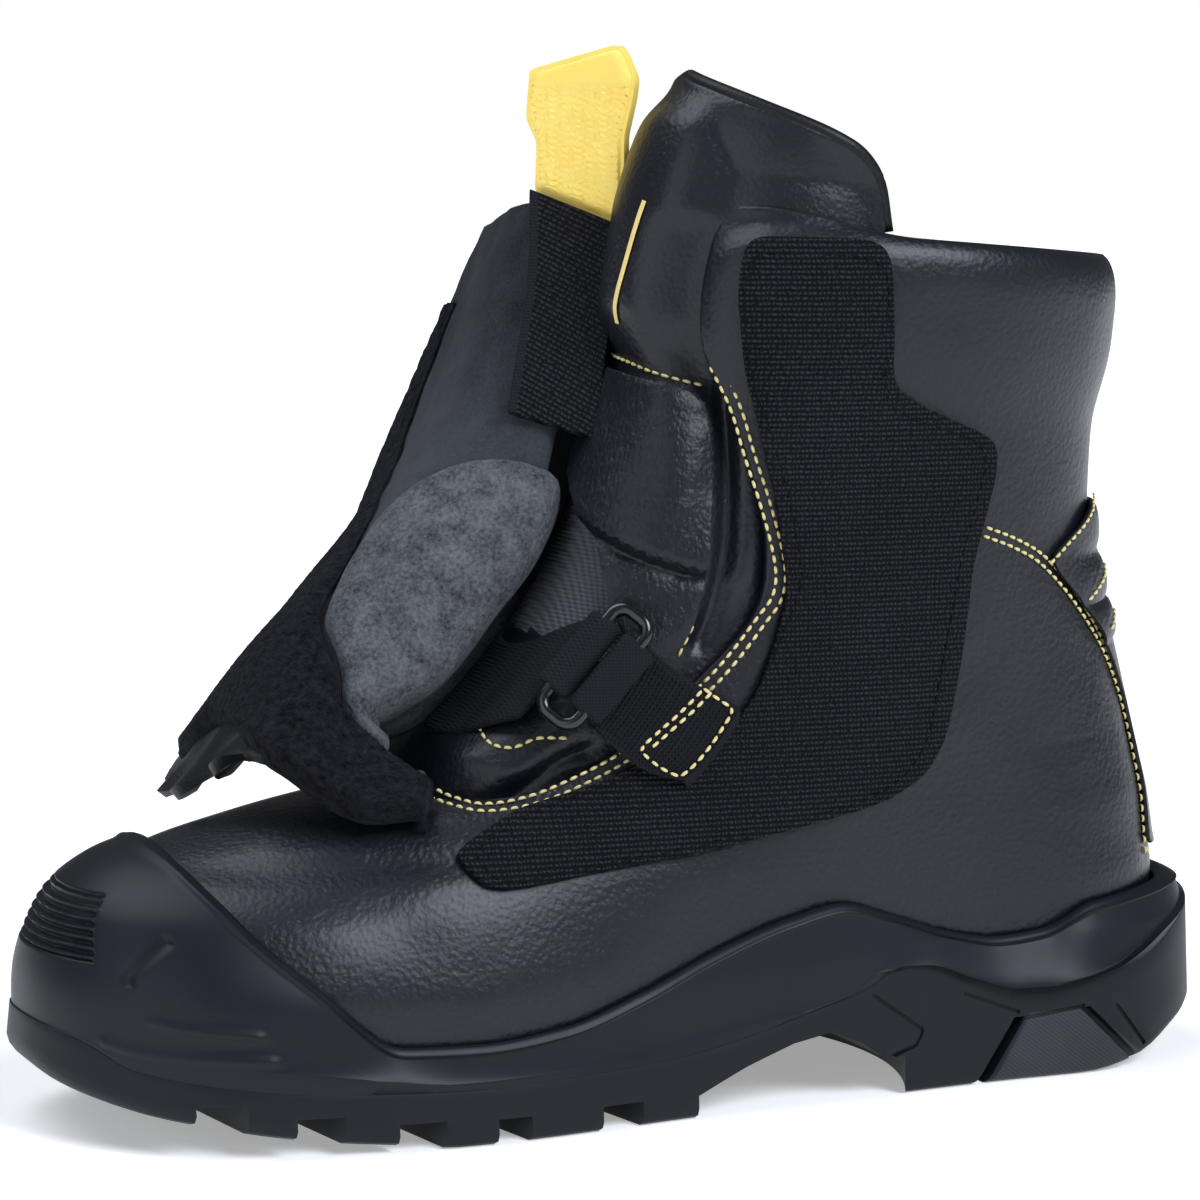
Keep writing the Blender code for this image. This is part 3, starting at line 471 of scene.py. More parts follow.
    @staticmethod
    def plate(
        name: str, outline: Array, step: Pair, shape: Callable, thickness: float,
        edge: float, angle: float = 38.0,
    ) -> Piece:
        """A flat outline cut into cells, laid on a form and thickened outward.

        Args:
            name: Name of the piece.
            outline: Points of (turn, rise).
            step: Cell size in turn and rise.
            shape: Gives millimetre points from arrays of turn and rise.
            thickness: Thickness in millimetres.
            edge: Bevel of the rim in millimetres.
            angle: Edges sharper than this are bevelled, in degrees.

        Returns:
            The new piece; its UV map holds turn and rise.
        """
        Bench.clear()
        bpy.ops.mesh.primitive_circle_add(vertices=len(outline), fill_type="NGON", radius=1.0)
        obj = Bench.named(name)
        Bench.move(obj, np.column_stack((outline, np.zeros(len(outline)))))
        cuts = []
        for axis in (0, 1):
            low, high = outline[:, axis].min(), outline[:, axis].max()
            for k in range(math.ceil(low / step[axis]), math.floor(high / step[axis]) + 1):
                place, way = [0.0, 0.0, 0.0], [0.0, 0.0, 0.0]
                place[axis], way[axis] = k * step[axis] + 0.0007, 1.0
                cuts.append(
                    lambda p=tuple(place), w=tuple(way): bpy.ops.mesh.bisect(plane_co=p, plane_no=w),
                )
        Bench.edit(obj, *cuts)
        if obj.data.polygons[0].normal.z > 0:
            Bench.edit(obj, bpy.ops.mesh.flip_normals)
        flat = Bench.places(obj)[:, :2]
        layer = obj.data.uv_layers.active or obj.data.uv_layers.new(name="UVMap")
        loops = np.empty(len(obj.data.loops), int)
        obj.data.loops.foreach_get("vertex_index", loops)
        layer.data.foreach_set("uv", flat[loops].ravel())
        Bench.move(obj, shape(flat[:, 0], flat[:, 1]) * MM)
        Bench.wall(obj, thickness, outward=True)
        Bench.round_edges(obj, edge, angle=angle)
        return obj

    @staticmethod
    def cutter(name: str, outline: Sequence[Triple], way: Triple) -> Piece:
        """A flat outline extruded into a block to cut with, all in millimetres."""
        Bench.clear()
        bpy.ops.mesh.primitive_circle_add(vertices=len(outline), fill_type="NGON", radius=1.0)
        obj = Bench.named(name)
        Bench.move(obj, np.array(outline, float) * MM)
        shift = tuple(v * MM for v in way)
        Bench.edit(
            obj,
            lambda: bpy.ops.mesh.extrude_region_move(TRANSFORM_OT_translate={"value": shift}),
            lambda: bpy.ops.mesh.normals_make_consistent(inside=False),
        )
        return obj

    @staticmethod
    def cut(obj: Piece, tool: Piece) -> None:
        """Take a cutter away from a piece, and the cutter out of the scene."""
        Bench.modify(obj, "BOOLEAN", operation="DIFFERENCE", solver="EXACT", object=tool)
        bpy.data.objects.remove(tool)


class Wire:
    """A shader value that takes part in Python expressions."""

    def __init__(self, shader: "Shader", socket: bpy.types.NodeSocket) -> None:
        """Wrap one output socket."""
        self.shader = shader
        self.socket = socket

    def maths(self, operation: str, first: object, second: object = None) -> "Wire":
        """A Math node on two values."""
        links = {0: first} if second is None else {0: first, 1: second}
        return self.shader.node("ShaderNodeMath", {"operation": operation}, links, "Value")

    def __add__(self, other: object) -> "Wire":
        """Sum."""
        return self.maths("ADD", self, other)

    __radd__ = __add__

    def __mul__(self, other: object) -> "Wire":
        """Product."""
        return self.maths("MULTIPLY", self, other)

    __rmul__ = __mul__

    def __sub__(self, other: object) -> "Wire":
        """Difference."""
        return self.maths("SUBTRACT", self, other)

    def sine(self) -> "Wire":
        """Sine of an angle in radians."""
        return self.maths("SINE", self)

    def size(self) -> "Wire":
        """Value without its sign."""
        return self.maths("ABSOLUTE", self)

    def between(self, low: float, high: float) -> "Wire":
        """0 at low, 1 at high, held outside."""
        return self.shader.node(
            "ShaderNodeMapRange", {"clamp": True, "interpolation_type": "SMOOTHSTEP"},
            {"Value": self, "From Min": low, "From Max": high}, "Result",
        )


class Shader:
    """A node material under construction."""

    def __init__(self, name: str) -> None:
        """Start a material with its Principled shader."""
        self.material = bpy.data.materials.new(name)
        self.material.use_nodes = True
        self.tree = self.material.node_tree
        self.surface = self.tree.nodes["Principled BSDF"]

    def node(self, kind: str, settings: dict, links: dict, output: str | int) -> Wire:
        """Add one node.

        Args:
            kind: Type of the node.
            settings: Values of its properties, set first.
            links: Values or wires of its input sockets.
            output: Name or number of the output that is wanted.

        Returns:
            The output, ready for expressions.
        """
        node = self.tree.nodes.new(kind)
        for key, value in settings.items():
            setattr(node, key, value)
        for key, value in links.items():
            self.join(node.inputs[key], value)
        return Wire(self, node.outputs[output])

    def join(self, socket: bpy.types.NodeSocket, value: object) -> None:
        """Link a wire to a socket, or set the socket's own value."""
        if isinstance(value, Wire):
            self.tree.links.new(value.socket, socket)
        elif isinstance(value, tuple) and len(value) == 3 and socket.type == "RGBA":
            socket.default_value = (*value, 1.0)
        else:
            socket.default_value = value

    def coords(self) -> Wire:
        """Texture coordinates of the piece."""
        return self.node("ShaderNodeTexCoord", {}, {}, "Object")

    def axis(self, vector: Wire, letter: str) -> Wire:
        """One coordinate of a vector."""
        return self.node("ShaderNodeSeparateXYZ", {}, {"Vector": vector}, letter)

    def stretched(self, vector: Wire, scale: Triple, turn: Triple = (0.0, 0.0, 0.0)) -> Wire:
        """Coordinates scaled and turned, for a grain with a direction."""
        links = {"Vector": vector, "Scale": scale, "Rotation": turn}
        return self.node("ShaderNodeMapping", {}, links, "Vector")

    def noise(self, vector: Wire, scale: float, detail: float = 3.0, rough: float = 0.55) -> Wire:
        """Cloudy noise from 0 to 1."""
        links = {"Vector": vector, "Scale": scale, "Detail": detail, "Roughness": rough}
        return self.node("ShaderNodeTexNoise", {}, links, 0)

    def cells(self, vector: Wire, scale: float, feature: str = "SMOOTH_F1") -> Wire:
        """Distance within cells, for pores and pebbles."""
        links = {"Vector": vector, "Scale": scale}
        return self.node("ShaderNodeTexVoronoi", {"feature": feature}, links, "Distance")

    def tint(self, amount: Wire, dark: Triple, light: Triple) -> Wire:
        """Colour between two tones."""
        settings = {"data_type": "RGBA", "clamp_factor": True}
        return self.node("ShaderNodeMix", settings, {0: amount, 6: dark, 7: light}, 2)

    def bump(self, height: Wire, strength: float, depth: float) -> Wire:
        """Normal from a height, with its depth in metres."""
        links = {"Height": height, "Strength": strength, "Distance": depth}
        return self.node("ShaderNodeBump", {}, links, "Normal")

    def finish(self, **sockets: object) -> bpy.types.Material:
        """Set the Principled sockets, named with underscores for spaces."""
        for key, value in sockets.items():
            self.join(self.surface.inputs[key.replace("_", " ")], value)
        return self.material


@dataclass(frozen=True)
class Finish:
    """A finish between a dark and a light tone."""

    name: str
    dark: Triple
    light: Triple

    def begin(self) -> tuple[Shader, Wire]:
        """A new material and the coordinates of its piece."""
        shader = Shader(self.name)
        return shader, shader.coords()


@dataclass(frozen=True)
class Leather(Finish):
    """Grained leather with a satin face."""

    roughness: float
    grain: float
    depth: float
    coat: float = 0.16
    wrinkle: float = 0.0

    def material(self) -> bpy.types.Material:
        """Build the node material."""
        shader, at = self.begin()
        pebble = shader.cells(at, self.grain)
        fine = shader.noise(at, self.grain * 1.9, 4.0)
        broad = shader.noise(at, 22.0, 2.0)
        height = pebble * 0.8 + fine * 0.45
        if self.wrinkle:
            drawn = shader.noise(shader.stretched(at, (1.0, 1.0, 0.3), (0.0, 0.45, 0.0)), 420.0, 2.0)
            height = height + (drawn * 2.0 - 1.0).size() * self.wrinkle
        return shader.finish(
            Base_Color=shader.tint(broad * 0.7 + pebble * 0.35, self.dark, self.light),
            Roughness=broad * 0.10 + fine * 0.10 + (self.roughness - 0.10),
            Normal=shader.bump(height, 0.60, self.depth),
            Specular_IOR_Level=0.27,
            Coat_Weight=self.coat,
            Coat_Roughness=0.24,
        )


@dataclass(frozen=True)
class Rubber(Finish):
    """Moulded rubber or foam skin with a fine matt spark."""

    roughness: float
    depth: float
    keyed: bool = False
    # Paler tone that the keyed heel panel is tinted towards: painted light.
    panel_light: Triple = (0.0420, 0.0440, 0.0500)
    key_pitch: float = 0.0011

    def material(self) -> bpy.types.Material:
        """Build the node material, with a keyed panel on each side of the heel if it has one; the panel's
        paler tint is painted light.
        """
        shader, at = self.begin()
        fine = shader.noise(at, 2600.0, 2.0)
        broad = shader.noise(at, 30.0, 3.0)
        colour = shader.tint(broad * 0.7 + fine * 0.3, self.dark, self.light)
        height = fine + broad * 0.6
        if self.keyed:
            x, z = shader.axis(at, "X"), shader.axis(at, "Z")
            front = (x + z * 0.65 + 0.0044).between(0.0, -0.0015)
            rear = (x - z * 1.37 + 0.0546).between(0.0, 0.0015)
            panel = front * rear * z.between(0.0172, 0.0160)
            line = ((x * 0.75 - z) * (TAU / self.key_pitch)).sine() * 0.5 + 0.5
            # Painted light: the keyed panel is tinted paler, more along its keyed lines, for the light its
            # texture catches. The lines' relief in the bump is real.
            colour = shader.tint(panel * (line * 0.35 + broad * 0.8), colour, self.panel_light)
            height = height + panel * line * 1.5
        return shader.finish(
            Base_Color=colour,
            Roughness=broad * 0.12 + fine * 0.10 + (self.roughness - 0.11),
            Normal=shader.bump(height, 0.14, self.depth),
            Specular_IOR_Level=0.22,
        )


@dataclass(frozen=True)
class HookTape(Finish):
    """Woven tape covered with rows of small hooks."""

    turn: float
    row_pitch: float = 0.00125
    hook_pitch: float = 0.0011

    def material(self) -> bpy.types.Material:
        """Build the node material."""
        shader, plain = self.begin()
        at = shader.stretched(plain, (1.0, 1.0, 1.0), (0.0, self.turn, 0.0))
        broken = shader.noise(plain, 520.0, 2.0)
        row = (shader.axis(at, "Z") * (TAU / self.row_pitch) + broken * 2.2).sine() * 0.5 + 0.5
        hook = (shader.axis(at, "X") * (TAU / self.hook_pitch) + broken * 14.0).sine() * 0.5 + 0.5
        fuzz = shader.noise(plain, 2100.0, 3.0)
        cloud = shader.noise(plain, 40.0, 2.0)
        height = row * 0.5 + row * hook * 0.35 + fuzz * 0.5
        # Painted highlight: the rows and the hooks on them are tinted paler as their glints; the fuzz and
        # cloud terms are the tape's own uneven tone.
        tone = row * hook * 0.8 + row * 0.2 + fuzz * 0.9 + cloud * 0.3 - 0.72
        return shader.finish(
            Base_Color=shader.tint(tone, self.dark, self.light),
            Roughness=0.62 + fuzz * 0.25,
            Normal=shader.bump(height, 0.8, 0.0006),
            Specular_IOR_Level=0.12,
        )


@dataclass(frozen=True)
class Nap(Finish):
    """Pile, suede or brushed lining: a matt nap with cloudy tones."""

    cloud: float
    fibre: float
    depth: float
    sheen: float
    glow: float = 0.0
    glow_run: Pair = (0.200, 0.125)

    def material(self) -> bpy.types.Material:
        """Build the node material, paler towards the bottom if the finish has a glow."""
        shader, at = self.begin()
        cloud = shader.noise(at, self.cloud, 5.0, 0.65)
        fibre = shader.noise(at, self.fibre, 4.0, 0.7)
        curl = shader.cells(at, self.fibre * 0.55, "F1")
        tone = (cloud * 1.8 - 0.65) * 0.55 + (fibre * 2.4 - 0.85) * 0.5
        if self.glow:
            tone = tone + shader.axis(at, "Z").between(*self.glow_run) * self.glow
        return shader.finish(
            Base_Color=shader.tint(tone, self.dark, self.light),
            Roughness=0.86 + fibre * 0.12,
            Normal=shader.bump(fibre + curl * 0.6, 0.8, self.depth),
            Specular_IOR_Level=0.06,
            Sheen_Weight=self.sheen,
            Sheen_Roughness=0.5,
        )


@dataclass(frozen=True)
class Weave(Finish):
    """Woven cloth or webbing with crossing yarns."""

    pitch: float
    turn: Triple
    depth: float

    def material(self) -> bpy.types.Material:
        """Build the node material."""
        shader, plain = self.begin()
        at = shader.stretched(plain, (1.0, 1.0, 1.0), self.turn)
        over = (shader.axis(at, "X") * (TAU / self.pitch)).sine()
        under = (shader.axis(at, "Z") * (TAU / self.pitch)).sine()
        yarn = over * under * 0.5 + 0.5
        fuzz = shader.noise(plain, 1500.0, 3.0)
        return shader.finish(
            Base_Color=shader.tint(yarn * 0.55 + fuzz * 0.45, self.dark, self.light),
            Roughness=0.72 + fuzz * 0.2,
            Normal=shader.bump(yarn + fuzz * 0.5, 0.7, self.depth),
            Specular_IOR_Level=0.20,
        )


@dataclass(frozen=True)
class Thread(Finish):
    """Twisted sewing thread."""

    def material(self) -> bpy.types.Material:
        """Build the node material."""
        shader, at = self.begin()
        fibre = shader.noise(shader.stretched(at, (1.0, 1.0, 2.2), (0.5, 0.7, 0.3)), 2400.0, 2.0)
        return shader.finish(
            Base_Color=shader.tint(fibre * 1.6 - 0.3, self.dark, self.light),
            Roughness=0.6 + fibre * 0.2,
            Normal=shader.bump(fibre, 0.6, 0.0002),
            Specular_IOR_Level=0.12,
        )


@dataclass(frozen=True)
class Moulded(Finish):
    """Moulded plastic or coated wire."""

    roughness: float
    metallic: float
    coat: float

    def material(self) -> bpy.types.Material:
        """Build the node material."""
        shader, at = self.begin()
        fine = shader.noise(at, 1400.0, 3.0)
        broad = shader.noise(at, 90.0, 2.0)
        return shader.finish(
            Base_Color=shader.tint(broad * 0.8 + fine * 0.2, self.dark, self.light),
            Roughness=self.roughness - 0.06 + fine * 0.12,
            Normal=shader.bump(fine, 0.25, 0.00012),
            Metallic=self.metallic,
            Coat_Weight=self.coat,
        )


class Look(Enum):
    """The finishes of the boot."""

    SHAFT = Leather(
        "shaft_leather", (0.0030, 0.0037, 0.0064), (0.0080, 0.0094, 0.0148), 0.40, 760.0, 0.00044,
    )
    TONGUE = Leather(
        "soft_leather", (0.0030, 0.0037, 0.0064), (0.0084, 0.0098, 0.0154), 0.39, 850.0, 0.00038,
    )
    PANEL = Leather(
        "creased_leather", (0.0030, 0.0036, 0.0060), (0.0088, 0.0102, 0.0155), 0.40, 900.0, 0.00048,
        0.10, 0.9,
    )
    # Near-black leather of the tongue's piping, also laid on the flap's drooping leaves as painted shade.
    PIPING = Leather(
        "piping_and_shade_leather", (0.0014, 0.0016, 0.0023), (0.0036, 0.0040, 0.0055), 0.48, 1300.0, 0.00018, 0.04,
    )
    OUTER_FLAP = Leather(
        "flap_grain", (0.0026, 0.0030, 0.0046), (0.0066, 0.0074, 0.0108), 0.50, 900.0, 0.00026, 0.05,
    )
    LINING = Nap(
        "flap_lining", (0.0080, 0.0094, 0.0120), (0.0480, 0.0530, 0.0615), 75.0, 1400.0, 0.00022, 0.03, 0.7,
    )
    COLLAR_CLOTH = Weave(
        "collar_cloth", (0.002, 0.002, 0.003), (0.008, 0.008, 0.010), 0.0016, (0.0, 0.6, 0.0), 0.0003,
    )
    GUSSET_CLOTH = Weave(
        "gusset_cloth", (0.014, 0.015, 0.018), (0.100, 0.106, 0.118), 0.0014, (0.0, 0.9, 0.0), 0.0004,
    )
    FOOTBED = Weave(
        "footbed_cloth", (0.020, 0.020, 0.022), (0.055, 0.055, 0.060), 0.0018, (1.57, 0.0, 0.4), 0.0003,
    )
    SUEDE = Nap(
        "grey_suede", (0.0190, 0.0212, 0.0240), (0.1950, 0.2060, 0.2260), 150.0, 1000.0, 0.00050, 0.04,
    )
    PILE = Nap("black_pile", (0.0003, 0.0003, 0.0006), (0.0260, 0.0262, 0.0360), 420.0, 640.0, 0.0018, 0.02)
    HOOKS = HookTape("black_hooks", (0.0003, 0.0003, 0.0007), (0.0290, 0.0295, 0.0410), 0.0)
    STRAP_HOOKS = HookTape("strap_hook_tape", (0.0004, 0.0004, 0.0009), (0.0300, 0.0305, 0.0420), 0.62)
    WEBBING = Weave(
        "black_webbing", (0.0012, 0.0013, 0.0022), (0.0105, 0.0110, 0.0155), 0.0011, (0.0, 0.8, 0.0), 0.0003,
    )
    MIDSOLE = Rubber("guard_rubber", (0.0036, 0.0045, 0.0072), (0.0082, 0.0098, 0.0146), 0.44, 0.00012)
    OUTSOLE = Rubber("tread_rubber", (0.0034, 0.0042, 0.0066), (0.0078, 0.0092, 0.0134), 0.50, 0.00014, True)
    WIRE = Moulded("black_wire", (0.004, 0.004, 0.005), (0.009, 0.009, 0.011), 0.24, 0.30, 0.30)
    GRIP = Moulded("yellow_plastic", (0.970, 0.650, 0.100), (1.000, 0.800, 0.190), 0.40, 0.0, 0.10)
    YELLOW_PRINT = Moulded("stripe_print", (0.760, 0.580, 0.200), (0.860, 0.690, 0.270), 0.55, 0.0, 0.0)
    YELLOW_THREAD = Thread("yellow_thread", (0.480, 0.400, 0.150), (0.860, 0.760, 0.380))
    BLACK_THREAD = Thread("black_thread", (0.0005, 0.0005, 0.0008), (0.0035, 0.0035, 0.0050))

    def material(self) -> bpy.types.Material:
        """The material of this finish, made once."""
        return bpy.data.materials.get(self.value.name) or self.value.material()


def paint(obj: Piece, *looks: Look) -> Piece:
    """Give a piece its finishes, one for each material slot."""
    for look in looks:
        obj.data.materials.append(look.material())
    return obj


def settle(obj: Piece, slot: str, *nodes: str) -> Piece:
    """Let a piece ride with the boot and stand for solids.

    Args:
        obj: The finished piece.
        slot: The record's material slot; not used.
        nodes: Solids that it replaces.

    Returns:
        The same piece.
    """
    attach(obj, ROOT)
    if nodes:
        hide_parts(*nodes)
    LOG.info("%s: %d faces", obj.name, len(obj.data.polygons))
    return obj


def distance(points: Array, path: Array) -> Array:
    """Distance of points from a broken line."""
    best = np.full(points.shape[:-1], 1e9)
    for a, b in zip(path[:-1], path[1:]):
        run = b - a
        t = np.clip(((points - a) @ run) / max(float(run @ run), 1e-9), 0, 1)
        best = np.minimum(best, np.linalg.norm(points - (a + t[..., None] * run), axis=-1))
    return best


class Fold(NamedTuple):
    """A crease or ridge along a path of (turn, rise), in millimetres."""

    path: tuple[Pair, ...]
    width: float
    height: float


@dataclass(frozen=True)
class Stitch:
    """Sewing: rows of small thread loops sunk into what they hold."""

    length: float = 2.0
    gap: float = 0.65
    radius: float = 0.44
    dip: float = 0.45

    def loop(self) -> tuple[Array, list[tuple[int, ...]]]:
        """One stitch of unit size, from a sphere primitive: its points and its faces."""
        Bench.clear()
        bpy.ops.mesh.primitive_uv_sphere_add(segments=6, ring_count=7, radius=1.0)
        obj = bpy.context.active_object
        points = Bench.places(obj)
        faces = [tuple(face.vertices) for face in obj.data.polygons]
        bpy.data.objects.remove(obj)
        return points, faces

    def sew(self, name: str, rows: Sequence[tuple[Array, Array]], look: Look, slot: str) -> Piece:
        """Sew rows of stitches as one piece.

        Args:
            name: Name of the piece.
            rows: For each row its points and outward normals, in millimetres.
            look: Finish of the thread.
            slot: Material slot of the record.

        Returns:
            The finished piece.
        """
        unit_points, unit_faces = self.loop()
        along = np.sign(unit_points[:, 2]) * np.abs(unit_points[:, 2]) ** 0.8
        points, faces = [], []
        for path, normals in rows:
            run = np.concatenate(([0], np.cumsum(np.linalg.norm(np.diff(path, axis=0), axis=-1))))
            count = max(int(run[-1] // (self.length + self.gap)), 1)
            pitch = run[-1] / count
            for k in range(count):
                ends = (k * pitch, k * pitch + pitch * self.length / (self.length + self.gap))
                a, b, up = (
                    np.array([np.interp(s, run, data[:, i]) for i in range(3)])
                    for s, data in ((ends[0], path), (ends[1], path), (sum(ends) / 2, normals))
                )
                way = unit(b - a)
                up = unit(up - way * (up @ way))
                side = np.cross(up, way)
                lift = self.radius * (0.75 * unit_points[:, 1] + 0.55) - self.dip * along ** 4
                place = (a + b) / 2 + np.outer(along, b - a) / 2
                place = place + np.outer(unit_points[:, 0] * self.radius, side) + np.outer(lift, up)
                faces += [tuple(v + len(points) * len(unit_points) for v in face) for face in unit_faces]
                points.append(place)
        mesh = bpy.data.meshes.new(name)
        mesh.from_pydata(np.vstack(points) * MM, [], faces)
        obj = bpy.data.objects.new(name, mesh)
        bpy.context.scene.collection.objects.link(obj)
        Bench.outward(obj)
        Bench.smooth(obj)
        return settle(paint(obj, look), slot)


def beside(path: Array, normals: Array, shift: float) -> tuple[Array, Array]:
    """A row moved sideways along its surface by a distance."""
    return path + unit(np.cross(normals, np.gradient(path, axis=0))) * shift, normals


class Throat(NamedTuple):
    """Front limits of the upper at a rise."""

    rise: float
    outer: float
    inner: float


@dataclass
class Upper:
    """Leather shell with its padded collar, fastening patch and back stay."""

    last: Last
    stitch: Stitch
    throat: tuple[Throat, ...] = (
        Throat(0.475, 1.000, 1.000), Throat(0.481, 0.860, 0.860), Throat(0.488, 0.760, 0.765),
        Throat(0.510, 0.716, 0.730), Throat(0.560, 0.692, 0.710), Throat(0.600, 0.682, 0.700),
        Throat(0.640, 0.664, 0.690), Throat(0.700, 0.636, 0.680), Throat(0.750, 0.656, 0.685),
        Throat(0.800, 0.702, 0.720), Throat(0.850, 0.760, 0.770), Throat(0.900, 0.836, 0.840),
        Throat(0.950, 0.852, 0.855), Throat(0.985, 0.845, 0.848), Throat(1.000, 0.815, 0.820),
    )
    dip_from: float = 0.74
    dip: float = 0.055
    wall: float = 3.0
    collar_wall: float = 5.5
    collar_puff: float = 3.6
    puff_low: float = 0.845
    puff_run: float = 0.07
    puff_top: float = 0.935
    puff_front: float = 0.87
    corner_rise: float = 0.020
    weld: float = 0.2
    pad_from: float = 150.0
    pad_run: float = 45.0
    columns: int = 121
    throat_seam: tuple[Pair, ...] = (
        (0.798, 0.884), (0.751, 0.853), (0.714, 0.818), (0.677, 0.784), (0.644, 0.749),
        (0.625, 0.723), (0.620, 0.702), (0.629, 0.684), (0.650, 0.632), (0.670, 0.598),
        (0.679, 0.555), (0.697, 0.517), (0.712, 0.479), (0.739, 0.467), (0.787, 0.488),
        (0.843, 0.513),
    )
    back_seam: tuple[Pair, ...] = (
        (0.389, 0.754), (0.334, 0.739), (0.281, 0.717), (0.215, 0.668), (0.142, 0.593),
        (0.093, 0.494), (0.096, 0.372), (0.117, 0.190),
    )
    seam_depth: float = 0.35
    seam_reach: float = 2.2
    throat_rows: float = 1.2
    back_rows: float = 1.1
    rib_seams: tuple[tuple[Pair, ...], ...] = (
        ((0.281, 0.717), (0.222, 0.742), (0.154, 0.767), (0.080, 0.780)),
        ((0.199, 0.668), (0.150, 0.684), (0.095, 0.700)),
        ((0.146, 0.624), (0.115, 0.634), (0.080, 0.642)),
    )
    patch_outline: tuple[Pair, ...] = (
        (0.770, 0.984), (0.625, 0.990), (0.600, 0.985), (0.588, 0.972), (0.562, 0.886),
        (0.545, 0.872), (0.497, 0.858), (0.418, 0.841), (0.401, 0.832), (0.395, 0.811),
        (0.404, 0.718), (0.394, 0.525), (0.398, 0.455), (0.418, 0.405), (0.517, 0.314),
        (0.616, 0.243), (0.636, 0.247), (0.650, 0.277), (0.676, 0.338), (0.680, 0.360),
        (0.694, 0.440), (0.670, 0.530), (0.605, 0.580), (0.597, 0.610), (0.613, 0.713),
        (0.663, 0.784), (0.752, 0.885), (0.780, 0.945), (0.780, 0.972),
    )
    patch_seat: float = 0.6
    patch_thickness: float = 1.6
    patch_spine: float = 0.60
    patch_spine_rise: Pair = (0.45, 0.80)
    patch_inset: float = 2.6
    patch_stitch: Stitch = Stitch(length=2.4, gap=0.9, radius=0.26)
    stay_edge: tuple[Pair, ...] = (
        (0.154, 0.772), (0.281, 0.722), (0.215, 0.669), (0.142, 0.596), (0.093, 0.503),
        (0.096, 0.380), (0.117, 0.215),
    )
    stay_seat: float = 0.7
    stay_thickness: float = 0.9
    flex_ribs: tuple[float, ...] = (0.745, 0.690, 0.635)
    rib_half: float = 0.026
    rib_height: float = 1.6
    rib_end: float = 0.24
    rib_fade: float = 0.10
    folds: tuple[Fold, ...] = (
        Fold(((0.690, 0.085), (0.672, 0.120), (0.660, 0.170)), 3.0, -0.45),
        Fold(((0.655, 0.050), (0.640, 0.090), (0.632, 0.130)), 2.6, -0.40),
        Fold(((0.625, 0.040), (0.612, 0.075), (0.606, 0.110)), 2.4, -0.35),
        Fold(((0.92, 0.36), (0.80, 0.34), (0.72, 0.30)), 9.0, -0.9),
        Fold(((0.86, 0.30), (0.77, 0.26), (0.70, 0.21)), 8.0, -0.7),
        Fold(((0.36, 0.60), (0.30, 0.52), (0.25, 0.42)), 10.0, -0.8),
        Fold(((0.37, 0.45), (0.30, 0.36), (0.22, 0.30)), 9.0, -0.6),
        Fold(((0.50, 0.93), (0.38, 0.91), (0.20, 0.915)), 9.0, -0.5),
    )

    def limit(self, side: Array, rise: Array) -> Array:
        """Front limit of the upper on the side that a sign points to."""
        outer, inner = (between_rows(self.throat, field, rise) for field in ("outer", "inner"))
        return np.where(side >= 0, outer, inner)

    def dipped(self, turn: Array, rise: Array) -> Array:
        """Rise of a row after its dip on both sides of the front ridge."""
        near = step01((np.abs(turn) - self.dip_from) / (1 - self.dip_from))
        reach = np.interp(rise, (0.0, 0.30, 0.475, 0.62, 0.80), (0.0, 0.35, 1.0, 0.6, 0.0))
        return rise + self.dip * near * reach

    def padding_at(self, z: Array) -> Array:
        """Share of the collar's padding at a height."""
        return np.clip((z - self.pad_from) / self.pad_run, 0, 1)

    def wall_at(self, z: Array) -> Array:
        """Wall of the shell at a height."""
        return self.wall + (self.collar_wall - self.wall) * self.padding_at(z)

    def puff(self, turn: Array, rise: Array) -> Array:
        """Millimetres by which the padded collar swells, down to its rounded edges."""
        share = np.abs(turn) / self.limit(turn, np.minimum(rise, 1.0))
        over = np.clip((rise - self.puff_top) / (1 - self.puff_top), 0, 1)
        front = np.clip((share - self.puff_front) / (1 - self.puff_front), 0, 1)
        here = step01((rise - self.puff_low) / self.puff_run)
        full = np.sqrt(np.clip(1 - over ** 2 - front ** 2, 0, 1))
        return self.collar_puff * here * (full - 0.6 * over ** 4)

    def relief(self, points: Array) -> Array:
        """Millimetres by which folds and sewn lines lift or sink the leather."""
        lift = np.zeros(points.shape[:-1])
        for fold in self.folds:
            path = spread(self.last.place(*np.array(fold.path).T), 12)
            lift = lift + fold.height * bell(distance(points, path), fold.width)
        for seam in (self.throat_seam, self.back_seam):
            path = spread(self.last.place(*np.array(seam).T), 40)
            lift = lift - self.seam_depth * bell(distance(points, path), self.seam_reach)
        return lift + 0.12 * wander(points, 38.0)

